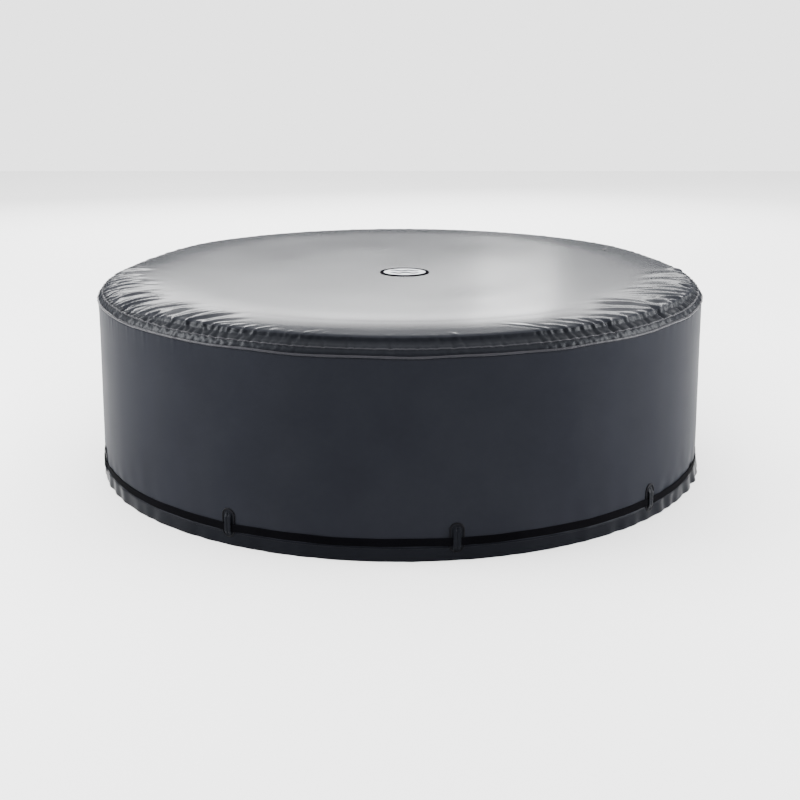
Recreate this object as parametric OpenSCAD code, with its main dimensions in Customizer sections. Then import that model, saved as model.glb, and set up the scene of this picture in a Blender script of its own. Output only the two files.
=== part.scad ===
// Round inflatable hot tub, filled with air and closed under its fitted fabric cover.
// Millimetres, +Z up, origin on the floor under the centre, front of the tub towards -Y.
// An azimuth is measured from the front (-Y) towards the right (+X).

/* [Cover] */
// Radius of the cover at the lower seam
seam_r = 1100; // [1092:1:1115]
// Height of the lower seam above the floor
seam_z = 642; // [641:1:646]
// Radius of the cover at the floor
hem_r = 1113; // [1108:1:1120]
// Height of the top panel
top_z = 712; // [710:1:716]
// Drop of the top panel at its edge
top_drop = 16; // [12:1:18]
// Height of the hem band
hem_h = 45; // [35:1:48]
// Thickness of the cover fabric
fabric_t = 1.6; // [1.2:0.1:1.8]

/* [Strap and loops] */
// Width of the cinch strap
strap_w = 25; // [20:1:26]
// Height of the strap's lower edge
strap_z = 50; // [49:1:55]
// Height of a belt loop patch
patch_h = 94; // [80:2:100]
// Width of a belt loop patch
patch_w = 46; // [40:2:50]
// Width of the strip that holds the strap in a loop
bridge_w = 24; // [18:1:28]

/* [Tub] */
// Outer radius of the tub wall between its tiers
wall_r = 1054; // [1050:1:1056]
// Inner radius of the water space between its tiers
pool_r = 825; // [815:1:830]
// How far a tier bulges
tier_depth = 9; // [5:1:10]
// Thickness of the tub skins
skin_t = 2; // [1.5:0.1:2.2]
// Height of the tub's rim
rim_z = 640; // [638:0.5:640]

/* [Fittings] */
// Outer radius of a pump fitting
pipe_r = 25; // [22:0.5:26]
// Bore radius of a pump fitting
pipe_bore_r = 20; // [16:0.5:21]
// Radial distance of a pump fitting's open end
pipe_end = 1082; // [1076:1:1086]
// Outer radius of the air valve's neck
air_neck_r = 18.8; // [17:0.1:19]
// Outer radius of the drain valve's neck
drain_neck_r = 15; // [13:0.1:16]
// Length of the zip in the cover's lining
zip_len = 860; // [700:10:880]

/* [Hidden] */
$fn = 96;

charcoal = [0.10, 0.105, 0.12];
black = [0.03, 0.03, 0.035];
light_grey = [0.72, 0.74, 0.76];
dark_grey = [0.25, 0.26, 0.28];
blue_grey = [0.45, 0.55, 0.62];
steel = [0.70, 0.71, 0.73];

// Floor and tub levels
mat_t = 4;
mat_r = 1075;
base_z = mat_t + skin_t;
band_1 = 70;
band_2 = 250;
band_3 = 326;
band_4 = 506;
fitting_z = (band_2 + band_3) / 2;
deck_z = 612;
deck_outer_r = 1030;
deck_inner_r = 850;
pad_t = 8;
pad_top = base_z + pad_t;

// Places round the wall, as azimuths
outlet_a = 180;
return_a = 170;
air_inlet_a = 190;
air_valve_a = 225;
drain_a = 90;
drain_z = 38;
handle_as = [0, 90, 270];
loop_as = [9, 48, 88, 128, 168, 208, 248, 288, 331];
buckle_a = 180;

// Cover levels and radii
top_flat_r = 800;
top_edge_r = 1062;
crease = [1065, 694];
upper_seam = [1086.5, 664];
upper_piping_r = 2.5;
piping_r = 4;
skirt_slope = (hem_r - seam_r) / seam_z;
skirt_tilt = atan(skirt_slope);
lining_z = rim_z + 0.5;
lining_t = 1.5;
bladder_z = lining_z + lining_t + 0.5;
bladder_edge_r = 985;
bladder_h = 40;
bladder_crown = 15;
bladder_skin = 1.5;
bladder_valve_y = 430;
eyelet_a = 117;
eyelet_r = 922;
eyelet_hole_r = 6.2;
badge_x = 17;
badge_y = -103;
badge_half = [90, 80];
badge_rim_w = 9;

// Clearances: between pieces that don't move, round a pin, and past a face that a cut must clear
gap = 0.2;
pin_gap = 0.06;
clear = 1;
// Radial reach of a cut through the outer and the inner wall
outer_cut = [1000, 1100];
inner_cut = [780, 880];

// Bubble channel and the duct that feeds it
ring_out_r = 812;
ring_in_r = 772;
ring_h = 20;
duct_r = 862;
duct_tube_r = 14;
duct_bore_r = 11;
duct_port_r = 7;
duct_port_z = pad_top + ring_h / 2;
nipple_r = 8.8;
nipple_bore_r = 6;

// Pump fittings and filter; distances are radial
inner_face = pool_r - 1.2;
inner_flange = inner_face - 3.5;
flange_r = 34;
gasket_t = 1.5;
nut_t = 8;
groove_w = 2;
groove_r = pipe_r - 1.5;
port_len = 16;
spigot_r = 16;
spigot_bore_r = 12;
spigot_from = 790;
filter_r = 52;
filter_front = 700;
filter_back = 817;
filter_wall = 3;

// Air valve and drain valve; distances are radial
neck_top = wall_r + 8;
cap_from = wall_r + 2.6;
cap_room = neck_top + 2.5;
thread_gap = 0.08;
seal_r = 1.15;
seal_at = neck_top + seal_r + 0.1;
collar = [wall_r + 0.1, wall_r + 2.3];
seat_at = wall_r - 14;
seat_t = 2;
spider_at = wall_r - 28;
spider_t = 3;
stem_r = 2;
head_t = 2.1;

// Bladder valve and zip
valve_tube_r = 8;
valve_bore_r = 5;
valve_low = lining_z - 10;
zip_y = -520;
tape_t = 0.8;
coil_h = 2.8;
coil_low = lining_z - coil_h - 0.1;
coil_inset = 5;
slider_half = 8;
slider_x = zip_len / 2 - coil_inset - slider_half - 1;
plate_top = coil_low - 0.4;
plate_low = plate_top - 2.2;
pull_axis_z = plate_top - 6;
pull_pin_r = 0.9;

// Strap, loops and buckle; the last four are distances out from the skirt
strap_t = 2;
strap_gap = 24;
patch_t = 1.4;
patch_z = strap_z + strap_w;
tail_from = 178;
tail_to = 192;
buckle_z = strap_z + strap_w / 2;
buckle_face = skirt_r(buckle_z);
pin_r = 2;
pin_out = 10.8;
strap_out = 0.3;
tail_out = strap_out + strap_t + gap;
bridge_out = 3.6;

// ---- shapes that repeat ----

// Puts a child on the wall: its +Z points outwards, its +Y up and its origin on the axis
module radial(azimuth, z) {
    rotate([0, 0, azimuth]) translate([0, 0, z]) rotate([90, 0, 0]) children();
}

module tube(r_out, r_in, from, to) {
    difference() {
        translate([0, 0, from]) cylinder(r = r_out, h = to - from);
        translate([0, 0, from - 1]) cylinder(r = r_in, h = to - from + 2);
    }
}

module disc(r, from, to) {
    translate([0, 0, from]) cylinder(r = r, h = to - from);
}

module bar(x, y, z) {
    translate([x[0], y[0], z[0]]) cube([x[1] - x[0], y[1] - y[0], z[1] - z[0]]);
}

// Cylinder along Y, centred on y = 0
module across(x, z, r, half) {
    translate([x, half, z]) rotate([90, 0, 0]) cylinder(r = r, h = 2 * half);
}

// Upright cylinder at an azimuth and a distance from the axis
module post(azimuth, distance, r, from, to) {
    rotate([0, 0, azimuth]) translate([0, -distance, 0]) disc(r, from, to);
}

module ring_of(points) {
    rotate_extrude($fn = 180) polygon(points);
}

module torus(major, minor, z) {
    rotate_extrude($fn = 180) translate([major, z]) circle(r = minor, $fn = 24);
}

function flip(list) = [for (i = [len(list) - 1:-1:0]) list[i]];

// Points of a bulging line from a to b, without a itself
function bulge(a, b, depth, n = 10) = [
    for (i = [1:n])
        let (t = i / n)
            [a[0] + (b[0] - a[0]) * t + depth * sin(180 * t), a[1] + (b[1] - a[1]) * t]
];

// Tub wall line from the floor to the deck; side is +1 outside and -1 inside
function wall_line(r, deck_r, side) = concat(
    [[r, base_z], [r, band_1]],
    bulge([r, band_1], [r, band_2], side * tier_depth),
    [[r, band_3]],
    bulge([r, band_3], [r, band_4], side * tier_depth),
    bulge([r, band_4], [deck_r, deck_z], side * tier_depth)
);

// Points of the deck's arched line between two radii
function crown(r_out, r_in, rise, n = 16) = [
    for (i = [0:n]) let (t = i / n) [r_out - (r_out - r_in) * t, deck_z + rise * sin(180 * t)]
];

function shell(line, t) = concat(line, flip([for (p = line) [p[0] - t, p[1]]]));

// A shell of the fabric's thickness on a line that slants outwards and down
function slanted_shell(line) = concat(line, flip([for (p = line) [p[0] - fabric_t, p[1] - fabric_t]]));

// Height of the cover's top panel and radius of its skirt
function panel_z(r) =
    top_z - (r > top_flat_r ? top_drop * pow((r - top_flat_r) / (top_edge_r - top_flat_r), 2) : 0);
function skirt_r(z) = seam_r + (seam_z - z) * skirt_slope;

// Layer of the lid that follows the top panel
function lid_layer(r_max, down, t) =
    let (rs = concat([0, top_flat_r], [for (i = [1:8]) top_flat_r + (r_max - top_flat_r) * i / 8]))
        concat([for (r = rs) [r, panel_z(r) - down]], flip([for (r = rs) [r, panel_z(r) - down - t]]));

// ---- tub ----

module ground_mat() {
    color(blue_grey) disc(mat_r, 0, mat_t);
}

module tub_base_panel() {
    color(dark_grey) disc(wall_r, mat_t, base_z);
}

module floor_pad() {
    color(light_grey) disc(pool_r - 5, base_z, pad_top);
}

module tub_outer_wall() {
    color(dark_grey) difference() {
        ring_of(shell(wall_line(wall_r, deck_outer_r, 1), skin_t));
        for (a = [outlet_a, return_a, air_inlet_a]) {
            radial(a, fitting_z) disc(pipe_r + gap, outer_cut[0], outer_cut[1]);
        }
        radial(air_valve_a, fitting_z) disc(air_neck_r + gap, outer_cut[0], outer_cut[1]);
        radial(drain_a, drain_z) disc(drain_neck_r + gap, outer_cut[0], outer_cut[1]);
    }
}

module tub_inner_wall() {
    line = [for (p = wall_line(pool_r, deck_inner_r, -1)) [p[0] + skin_t, p[1]]];
    color(light_grey) difference() {
        ring_of(shell(line, skin_t));
        for (a = [outlet_a, return_a]) {
            radial(a, fitting_z) disc(pipe_r + gap, inner_cut[0], inner_cut[1]);
        }
        radial(drain_a, drain_z) disc(drain_neck_r + gap, inner_cut[0], inner_cut[1]);
        radial(air_inlet_a, duct_port_z) disc(duct_port_r + gap, inner_cut[0], inner_cut[1]);
    }
}

module tub_top_deck() {
    rise = rim_z - deck_z;
    top = crown(deck_outer_r, deck_inner_r, rise);
    under = crown(deck_outer_r - skin_t, deck_inner_r + skin_t, rise - skin_t);
    color(dark_grey) ring_of(concat(top, flip(under)));
}

// Webs that hold the two walls together; air passes through their holes
module wall_beams() {
    web_t = 1.2;
    web_gap = 0.5;
    air_hole_r = 12;
    web_mid = (wall_r + pool_r) / 2;
    color(light_grey) for (z = [band_1, band_2 - web_t, band_3, band_4 - web_t]) {
        difference() {
            tube(wall_r - skin_t - web_gap, pool_r + skin_t + web_gap, z, z + web_t);
            for (a = [0:45:315]) {
                post(a, web_mid, air_hole_r, z - clear, z + web_t + clear);
            }
            post(air_inlet_a, duct_r, duct_tube_r + web_gap, z - clear, z + web_t + clear);
        }
    }
}

// Channel round the floor that lets air bubbles out
module bubble_ring() {
    wall = 2;
    jets = 40;
    jet_r = 2;
    jet_at = (ring_out_r + ring_in_r) / 2;
    jet_from = pad_top + ring_h / 2;
    top = pad_top + ring_h;
    color(light_grey) difference() {
        tube(ring_out_r, ring_in_r, pad_top, top);
        tube(ring_out_r - wall, ring_in_r + wall, pad_top - clear, top - wall);
        for (i = [0:jets - 1]) {
            post((i + 0.5) * 360 / jets, jet_at, jet_r, jet_from, top + clear);
        }
        radial(air_inlet_a, duct_port_z)
            disc(duct_port_r + gap / 2, ring_out_r - ring_h / 2, ring_out_r + clear);
    }
}

// Duct inside the wall from the air fitting down to the bubble ring
module bubble_air_duct() {
    wall = 2;
    top = fitting_z + 22;
    color(dark_grey) difference() {
        union() {
            post(air_inlet_a, duct_r, duct_tube_r, base_z, top);
            radial(air_inlet_a, duct_port_z) disc(duct_port_r, ring_out_r - wall, duct_r - duct_bore_r);
        }
        post(air_inlet_a, duct_r, duct_bore_r, base_z + wall, top - wall);
        radial(air_inlet_a, duct_port_z) disc(duct_port_r - wall, ring_out_r - wall - clear, duct_r);
        radial(air_inlet_a, fitting_z) disc(nipple_r + gap, duct_r, duct_r + duct_tube_r + clear);
    }
}
// Webbing handles on the flat band of the wall
module wall_handles() {
    grip_w = 32;
    half = 100;
    foot = 18;
    stand = 12;
    web_t = 2.5;
    // A flat foot starts this far in, so that its edges meet the round wall
    foot_at = wall_r - 4.4;
    color(black) for (a = handle_as) {
        radial(a, fitting_z) union() {
            bar([-half, half], [-grip_w / 2, grip_w / 2], [wall_r + stand, wall_r + stand + web_t]);
            for (s = [-1, 1]) {
                x = s > 0 ? half : -half - foot;
                bar([x, x + foot], [-grip_w / 2, grip_w / 2], [foot_at, wall_r + stand + web_t]);
            }
        }
    }
}

// ---- pump fittings and filter ----

// Stem, groove and port of a fitting; the port is the length that a hose coupling slides over
module port_stem(from) {
    disc(pipe_r, from, pipe_end - port_len - groove_w);
    disc(groove_r, from, pipe_end);
    disc(pipe_r, pipe_end - port_len, pipe_end);
}

// The outlet carries the spigot that the filter plugs onto
module water_outlet_pipe() {
    color(dark_grey) radial(outlet_a, fitting_z) difference() {
        union() {
            port_stem(inner_flange);
            disc(flange_r, inner_flange, inner_face);
            disc(spigot_r, spigot_from, inner_face);
        }
        disc(pipe_bore_r, inner_face, pipe_end + clear);
        disc(spigot_bore_r, spigot_from - clear, inner_face + clear);
    }
}

module water_return_pipe() {
    color(dark_grey) radial(return_a, fitting_z) difference() {
        union() {
            port_stem(inner_flange);
            disc(flange_r, inner_flange, inner_face);
        }
        disc(pipe_bore_r, inner_flange - clear, pipe_end + clear);
    }
}

module air_inlet_pipe() {
    wall = 4;
    stem_from = duct_r + duct_tube_r + 4;
    color(dark_grey) radial(air_inlet_a, fitting_z) difference() {
        union() {
            port_stem(stem_from);
            disc(nipple_r, duct_r + duct_bore_r, stem_from + clear);
        }
        disc(pipe_bore_r, stem_from + wall, pipe_end + clear);
        disc(nipple_bore_r, duct_r, stem_from + wall + clear);
    }
}

module fitting_gaskets() {
    color(black) for (a = [outlet_a, return_a, air_inlet_a]) {
        radial(a, fitting_z) tube(flange_r - 2, pipe_r + 0.1, collar[0], collar[0] + gasket_t);
    }
}

module fitting_nuts() {
    from = collar[0] + gasket_t;
    sides = 12;
    color(dark_grey) for (a = [outlet_a, return_a, air_inlet_a]) {
        radial(a, fitting_z) difference() {
            translate([0, 0, from]) cylinder(r = flange_r, h = nut_t, $fn = sides);
            disc(pipe_r + 0.05, from - clear, from + nut_t + clear);
        }
    }
}

module return_strainer() {
    plate_t = 2;
    from = inner_flange - 2 * plate_t;
    hole_r = 3;
    // Each ring of holes: how many, and how far from the middle
    rings = [[1, 0], [6, 9], [12, 17]];
    color(dark_grey) radial(return_a, fitting_z) difference() {
        disc(flange_r, from, inner_flange);
        disc(pipe_bore_r + 3, from + plate_t, inner_flange + clear);
        for (ring = rings, i = [1:ring[0]]) {
            post(i * 360 / ring[0], ring[1], hole_r, from - clear, from + plate_t + clear);
        }
    }
}

module filter_housing() {
    slots = 12;
    slot_half = 4;
    slot_end = 22;
    slot_span = [filter_front + slot_end, filter_back - slot_end];
    color(light_grey) radial(outlet_a, fitting_z) difference() {
        disc(filter_r, filter_front, filter_back);
        disc(filter_r - filter_wall, filter_front - clear, filter_back - filter_wall);
        disc(spigot_r + 0.1, filter_front, filter_back + clear);
        for (i = [0:slots - 1]) {
            rotate([0, 0, i * 360 / slots])
                bar([filter_r - 8, filter_r + 8], [-slot_half, slot_half], slot_span);
        }
    }
}

// Pleated paper round a perforated core
module filter_cartridge() {
    pleats = 36;
    pleat_depth = 7;
    paper_r = 40;
    end_t = 6;
    from = filter_front + filter_wall;
    to = filter_back - filter_wall - clear;
    outline = [
        for (i = [0:2 * pleats - 1])
            let (a = i * 180 / pleats, r = i % 2 == 0 ? paper_r : paper_r - pleat_depth)
                [r * cos(a), r * sin(a)]
    ];
    color("white") radial(outlet_a, fitting_z) difference() {
        union() {
            translate([0, 0, from + end_t]) linear_extrude(height = to - from - 2 * end_t) polygon(outline);
            disc(paper_r + 3, from, from + end_t);
            disc(paper_r + 3, to - end_t, to);
        }
        disc(paper_r / 2, from - clear, to + clear);
    }
}

module filter_cap() {
    cap_t = 6;
    grip = [34, 5, 16];
    front = filter_front - 0.3 - cap_t;
    color(dark_grey) radial(outlet_a, fitting_z) union() {
        disc(filter_r, front, front + cap_t);
        bar([-grip[0], grip[0]], [-grip[1], grip[1]], [front - grip[2], front]);
    }
}

// ---- air valve and drain valve ----

module screw_cap(neck_r, t) {
    lobes = 10;
    lobe_r = 1.5;
    outer = neck_r + 4.2;
    difference() {
        union() {
            disc(outer, cap_from, cap_room + t);
            for (i = [0:lobes - 1]) {
                post(i * 360 / lobes, outer, lobe_r, cap_from, cap_room + t);
            }
        }
        disc(neck_r + thread_gap, cap_from - clear, cap_room);
    }
}

module air_valve_body() {
    bore_r = 14;
    seat_r = 9;
    spider_hole_r = 3.5;
    color(dark_grey) radial(air_valve_a, fitting_z) difference() {
        union() {
            disc(air_neck_r, spider_at, neck_top);
            disc(30, collar[0], collar[1]);
        }
        disc(bore_r, spider_at + spider_t, seat_at);
        disc(seat_r, seat_at - clear, seat_at + seat_t + clear);
        disc(bore_r, seat_at + seat_t, neck_top + clear);
        disc(stem_r + pin_gap, spider_at - clear, spider_at + spider_t + clear);
        for (a = [45:90:315]) {
            post(a, 8.5, spider_hole_r, spider_at - clear, spider_at + spider_t + clear);
        }
    }
}

module air_valve_poppet() {
    color(blue_grey) radial(air_valve_a, fitting_z) union() {
        disc(stem_r, spider_at - 4, seat_at + 10);
        disc(11, seat_at - 0.4 - head_t, seat_at - 0.4);
        disc(5, seat_at + 8, seat_at + 10);
    }
}

module air_valve_spring() {
    coil_r = 5;
    wire_r = 0.6;
    turns = 4;
    from = spider_at + spider_t + wire_r;
    to = seat_at - 0.4 - head_t - wire_r;
    color(steel) radial(air_valve_a, fitting_z) for (i = [0:turns - 1]) {
        torus(coil_r, wire_r, from + (to - from) * i / (turns - 1));
    }
}

module air_valve_seal() {
    color(black) radial(air_valve_a, fitting_z) torus(air_neck_r - 2.4, seal_r, seal_at);
}

module air_valve_cap() {
    color(black) radial(air_valve_a, fitting_z) screw_cap(air_neck_r, 3.5);
}

module drain_valve_body() {
    bore_r = 10;
    lip_t = 2.2;
    color(dark_grey) radial(drain_a, drain_z) difference() {
        union() {
            disc(drain_neck_r, inner_face - lip_t, neck_top);
            disc(24, collar[0], collar[1]);
            disc(20, inner_face - lip_t, inner_face);
        }
        disc(bore_r, inner_face - lip_t - clear, neck_top + clear);
    }
}

module drain_valve_seal() {
    color(black) radial(drain_a, drain_z) torus(drain_neck_r - 2.5, seal_r, seal_at);
}

module drain_valve_cap() {
    color(black) radial(drain_a, drain_z) screw_cap(drain_neck_r, 3);
}

// ---- cover ----

module at_eyelet() {
    rotate([0, 0, eyelet_a]) translate([0, -eyelet_r, 0]) children();
}

module cover_top_panel() {
    color(charcoal) difference() {
        ring_of(lid_layer(top_edge_r, 0, fabric_t));
        at_eyelet() disc(eyelet_hole_r, top_z - 30, top_z + clear);
    }
}

// Gathered band between the crease and the upper seam
module cover_gusset() {
    low = [upper_seam[0] - 2, upper_seam[1] + 3.5];
    color(charcoal) ring_of(slanted_shell(concat([low], bulge(low, crease, 2, 6))));
}

// Narrow band between the two rows of piping
module seam_band() {
    low = [seam_r - 2, seam_z + piping_r];
    high = [upper_seam[0] + 1.5, upper_seam[1] - 3.5];
    color(charcoal) ring_of(slanted_shell([low, high]));
}

module cover_skirt() {
    top = seam_z - piping_r;
    color(charcoal) ring_of([
        [skirt_r(hem_h), hem_h], [skirt_r(top), top],
        [skirt_r(top) - fabric_t, top], [skirt_r(hem_h) - fabric_t, hem_h]
    ]);
}

module hem_band() {
    hem_t = 3;
    color(charcoal) ring_of([
        [hem_r, 0], [skirt_r(hem_h), hem_h], [skirt_r(hem_h) - hem_t, hem_h], [hem_r - hem_t, 0]
    ]);
}

module piping_upper() {
    color(black) torus(upper_seam[0], upper_piping_r, upper_seam[1]);
}

module piping_lower() {
    color(black) torus(seam_r, piping_r, seam_z);
}

module top_insulation() {
    foam_t = 4;
    color(light_grey) difference() {
        ring_of(lid_layer(top_edge_r - 10, fabric_t + gap, foam_t));
        at_eyelet() disc(eyelet_hole_r, top_z - 30, top_z + clear);
    }
}

module side_insulation() {
    foam_t = 5;
    low = 60;
    high = seam_z - 12;
    inset = fabric_t + gap;
    color(light_grey) ring_of([
        [skirt_r(low) - inset, low], [skirt_r(high) - inset, high],
        [skirt_r(high) - inset - foam_t, high], [skirt_r(low) - inset - foam_t, low]
    ]);
}

module lining_sheet() {
    slot_half = 3;
    valve_hole_r = 30;
    cut = [lining_z - clear, lining_z + lining_t + clear];
    color(light_grey) difference() {
        disc(seam_r - 8, lining_z, lining_z + lining_t);
        bar([-zip_len / 2, zip_len / 2], [zip_y - slot_half, zip_y + slot_half], cut);
        translate([0, bladder_valve_y, 0]) disc(valve_hole_r, cut[0], cut[1]);
    }
}

// Air-filled pad that holds the lid up
module lid_bladder() {
    half = bladder_h / 2;
    mid = bladder_z + half;
    top = bladder_z + bladder_h + bladder_crown;
    function pad_line(in) = concat(
        [[0, top - in], [bladder_edge_r * 0.6, top - in]],
        [for (a = [80:-20:-80]) [bladder_edge_r + (half - in) * cos(a), mid + (half - in) * sin(a)]],
        [[bladder_edge_r * 0.9, bladder_z + in], [0, bladder_z + in]]
    );
    color(blue_grey) difference() {
        ring_of(pad_line(0));
        ring_of(pad_line(bladder_skin));
        translate([0, bladder_valve_y, 0])
            disc(valve_tube_r + 0.1, bladder_z - clear, bladder_z + bladder_skin + clear);
    }
}

module bladder_valve() {
    tube_top = bladder_z + 4;
    color("white") translate([0, bladder_valve_y, 0]) difference() {
        union() {
            disc(valve_tube_r, valve_low, tube_top);
            disc(20, bladder_z - 1.3, bladder_z - 0.1);
        }
        disc(valve_bore_r, valve_low - clear, tube_top + clear);
    }
}

module bladder_valve_plug() {
    lid_low = valve_low - 2.6;
    color("white") translate([0, bladder_valve_y, 0]) union() {
        disc(valve_bore_r - pin_gap, valve_low - 0.5, valve_low + 8);
        disc(9.5, lid_low, valve_low - 0.3);
        bar([-3, 3], [8, 18], [lid_low, lid_low + 1.4]);
    }
}

module zip_tape() {
    tape_w = 14;
    tape_gap = 3;
    color(black) for (s = [-1, 1]) {
        y = s > 0 ? zip_y + tape_gap : zip_y - tape_gap - tape_w;
        bar([-zip_len / 2, zip_len / 2], [y, y + tape_w], [lining_z - 0.1 - tape_t, lining_z - 0.1]);
    }
}

module zip_coil() {
    rail = 2.5;
    rail_gap = 0.15;
    half = zip_len / 2 - coil_inset;
    color(black) for (s = [-1, 1]) {
        y = s > 0 ? zip_y + rail_gap : zip_y - rail_gap - rail;
        bar([-half, half], [y, y + rail], [coil_low, lining_z - 0.1]);
    }
}

module zip_stops() {
    stop_len = 4;
    stop_half = 2.8;
    edge = (zip_len - stop_len) / 2 - coil_inset + stop_len + gap;
    color(steel) for (s = [-1, 1]) {
        x = s * edge - stop_len / 2;
        bar([x, x + stop_len], [zip_y - stop_half, zip_y + stop_half], [coil_low - 1.5, lining_z - 0.1]);
    }
}

module zip_slider() {
    half_w = 6.5;
    side_t = 3.4;
    lug_out = 3.6;
    lug_t = 1.4;
    lug_low = plate_low - 5.6;
    color(steel) translate([slider_x, zip_y, 0]) union() {
        bar([-slider_half, slider_half], [-half_w, half_w], [plate_low, plate_top]);
        for (s = [-1, 1]) {
            side = s > 0 ? half_w - side_t : -half_w;
            bar([-slider_half, slider_half], [side, side + side_t], [plate_top, lining_z - tape_t - 0.6]);
            lug = s > 0 ? lug_out - lug_t : -lug_out;
            bar([-2.5, 2.5], [lug, lug + lug_t], [lug_low, plate_low]);
        }
        across(0, pull_axis_z, pull_pin_r, lug_out);
    }
}

module zip_pull() {
    eye_r = 2.2;
    eye_half = 1.9;
    half_t = 0.9;
    tab_len = 30;
    hole_r = 2;
    color(steel) translate([slider_x, zip_y, pull_axis_z]) difference() {
        union() {
            across(0, 0, eye_r, eye_half);
            bar([-half_t, half_t], [-eye_half, eye_half], [-6, -1.5]);
            bar([-half_t, half_t], [-4, 4], [-tab_len, -5]);
        }
        across(0, 0, pull_pin_r + pin_gap, eye_half + clear);
        translate([-2, 0, 5 - tab_len]) rotate([0, 90, 0]) cylinder(r = hole_r, h = 4);
    }
}

// ---- strap, loops and buckle ----

module loop_frame(azimuth) {
    radial(azimuth, patch_z) translate([0, 0, skirt_r(patch_z) + 0.05]) rotate([-skirt_tilt, 0, 0]) children();
}

module belt_loop_patches() {
    end_y = (patch_h - patch_w) / 2;
    window = [-strap_w - 2, 2];
    color(charcoal) for (a = loop_as) {
        loop_frame(a) difference() {
            linear_extrude(height = patch_t) union() {
                translate([0, end_y]) circle(d = patch_w);
                translate([0, -end_y]) circle(d = patch_w);
                square([patch_w, 2 * end_y], center = true);
            }
            bar([-patch_w, patch_w], window, [-clear, patch_t + clear]);
        }
    }
}

module belt_loop_bridges() {
    bridge_t = 1.5;
    foot = 10;
    low = -strap_w - 16;
    high = 34;
    half = bridge_w / 2;
    color(charcoal) for (a = loop_as) {
        loop_frame(a) union() {
            bar([-half, half], [low, high], [bridge_out, bridge_out + bridge_t]);
            bar([-half, half], [low, low + foot], [patch_t, bridge_out]);
            bar([-half, half], [high - foot, high], [patch_t, bridge_out]);
        }
    }
}

function strap_section(out) = [
    [skirt_r(strap_z) + out, strap_z],
    [skirt_r(strap_z) + out + strap_t, strap_z],
    [skirt_r(strap_z + strap_w) + out + strap_t, strap_z + strap_w],
    [skirt_r(strap_z + strap_w) + out, strap_z + strap_w]
];

module cinch_strap() {
    color(black) difference() {
        ring_of(strap_section(strap_out));
        radial(buckle_a, buckle_z)
            bar([-strap_gap, strap_gap], [-strap_w, strap_w], [hem_r - strap_gap, hem_r + strap_gap]);
    }
}

// Free end of the strap, under the cam and on along the strap
module strap_tail() {
    far = hem_r * 1.2;
    color(black) intersection() {
        ring_of(strap_section(tail_out));
        linear_extrude(height = patch_h) polygon([
            [0, 0],
            for (a = [tail_from, (tail_from + tail_to) / 2, tail_to]) [far * sin(a), -far * cos(a)]
        ]);
    }
}

module buckle_frame() {
    half_l = strap_gap - 2;
    half_w = 16.5;
    base = [0.5, 1.8];
    ear_t = 2.2;
    ear_half = 9;
    color(steel) radial(buckle_a, buckle_z) translate([0, 0, buckle_face]) difference() {
        union() {
            bar([-half_l, half_l], [-half_w, half_w], base);
            for (s = [-1, 1]) {
                y = s > 0 ? half_w - ear_t : -half_w;
                bar([-ear_half, ear_half], [y, y + ear_t], [base[0], pin_out + 2 * pin_r]);
            }
        }
        across(0, pin_out, pin_r, half_w + clear);
    }
}

module buckle_pin() {
    pin_half = 17.5;
    color(steel) radial(buckle_a, buckle_z) across(0, buckle_face + pin_out, pin_r, pin_half);
}

// Cam lever; its barrel grips the strap when the lever lies flat
module buckle_lever() {
    half_w = 13.8;
    barrel_r = 5.4;
    arm = 38;
    color(black) radial(buckle_a, buckle_z) translate([0, 0, buckle_face + pin_out]) difference() {
        union() {
            across(0, 0, barrel_r, half_w);
            bar([-arm, 0], [-half_w, half_w], [1.6, 4.6]);
        }
        across(0, 0, pin_r + pin_gap, half_w + clear);
    }
}

// ---- badge and eyelet ----

function oval(half, in) = [
    for (a = [0:5:355]) [(half[0] - in) * cos(a), (half[1] - in) * sin(a)]
];

module badge_rim() {
    rim_t = 3;
    color(black) translate([badge_x, badge_y, top_z + 0.05]) difference() {
        linear_extrude(height = rim_t) polygon(oval(badge_half, 0));
        translate([0, 0, -clear]) linear_extrude(height = rim_t + 2 * clear)
            polygon(oval(badge_half, badge_rim_w));
    }
}

module badge_plate() {
    color(light_grey) translate([badge_x, badge_y, top_z + 0.05]) linear_extrude(height = 2)
        polygon(oval(badge_half, badge_rim_w + gap));
}

module vent_eyelet() {
    z = panel_z(eyelet_r) + 0.8;
    flange_t = 1.4;
    barrel = 9;
    bore_r = 3.6;
    color(black) at_eyelet() difference() {
        union() {
            disc(11, z, z + flange_t);
            disc(eyelet_hole_r - gap, z - barrel, z + flange_t);
        }
        disc(bore_r, z - barrel - clear, z + flange_t + clear);
    }
}

ground_mat();
tub_base_panel();
floor_pad();
tub_outer_wall();
tub_inner_wall();
tub_top_deck();
wall_beams();
bubble_ring();
bubble_air_duct();
wall_handles();
water_outlet_pipe();
water_return_pipe();
air_inlet_pipe();
fitting_gaskets();
fitting_nuts();
return_strainer();
filter_housing();
filter_cartridge();
filter_cap();
air_valve_body();
air_valve_poppet();
air_valve_spring();
air_valve_seal();
air_valve_cap();
drain_valve_body();
drain_valve_seal();
drain_valve_cap();
cover_top_panel();
cover_gusset();
seam_band();
cover_skirt();
hem_band();
piping_upper();
piping_lower();
top_insulation();
side_insulation();
lining_sheet();
lid_bladder();
bladder_valve();
bladder_valve_plug();
zip_tape();
zip_coil();
zip_stops();
zip_slider();
zip_pull();
belt_loop_patches();
belt_loop_bridges();
cinch_strap();
strap_tail();
buckle_frame();
buckle_pin();
buckle_lever();
badge_rim();
badge_plate();
vent_eyelet();
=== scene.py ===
import math

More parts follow.
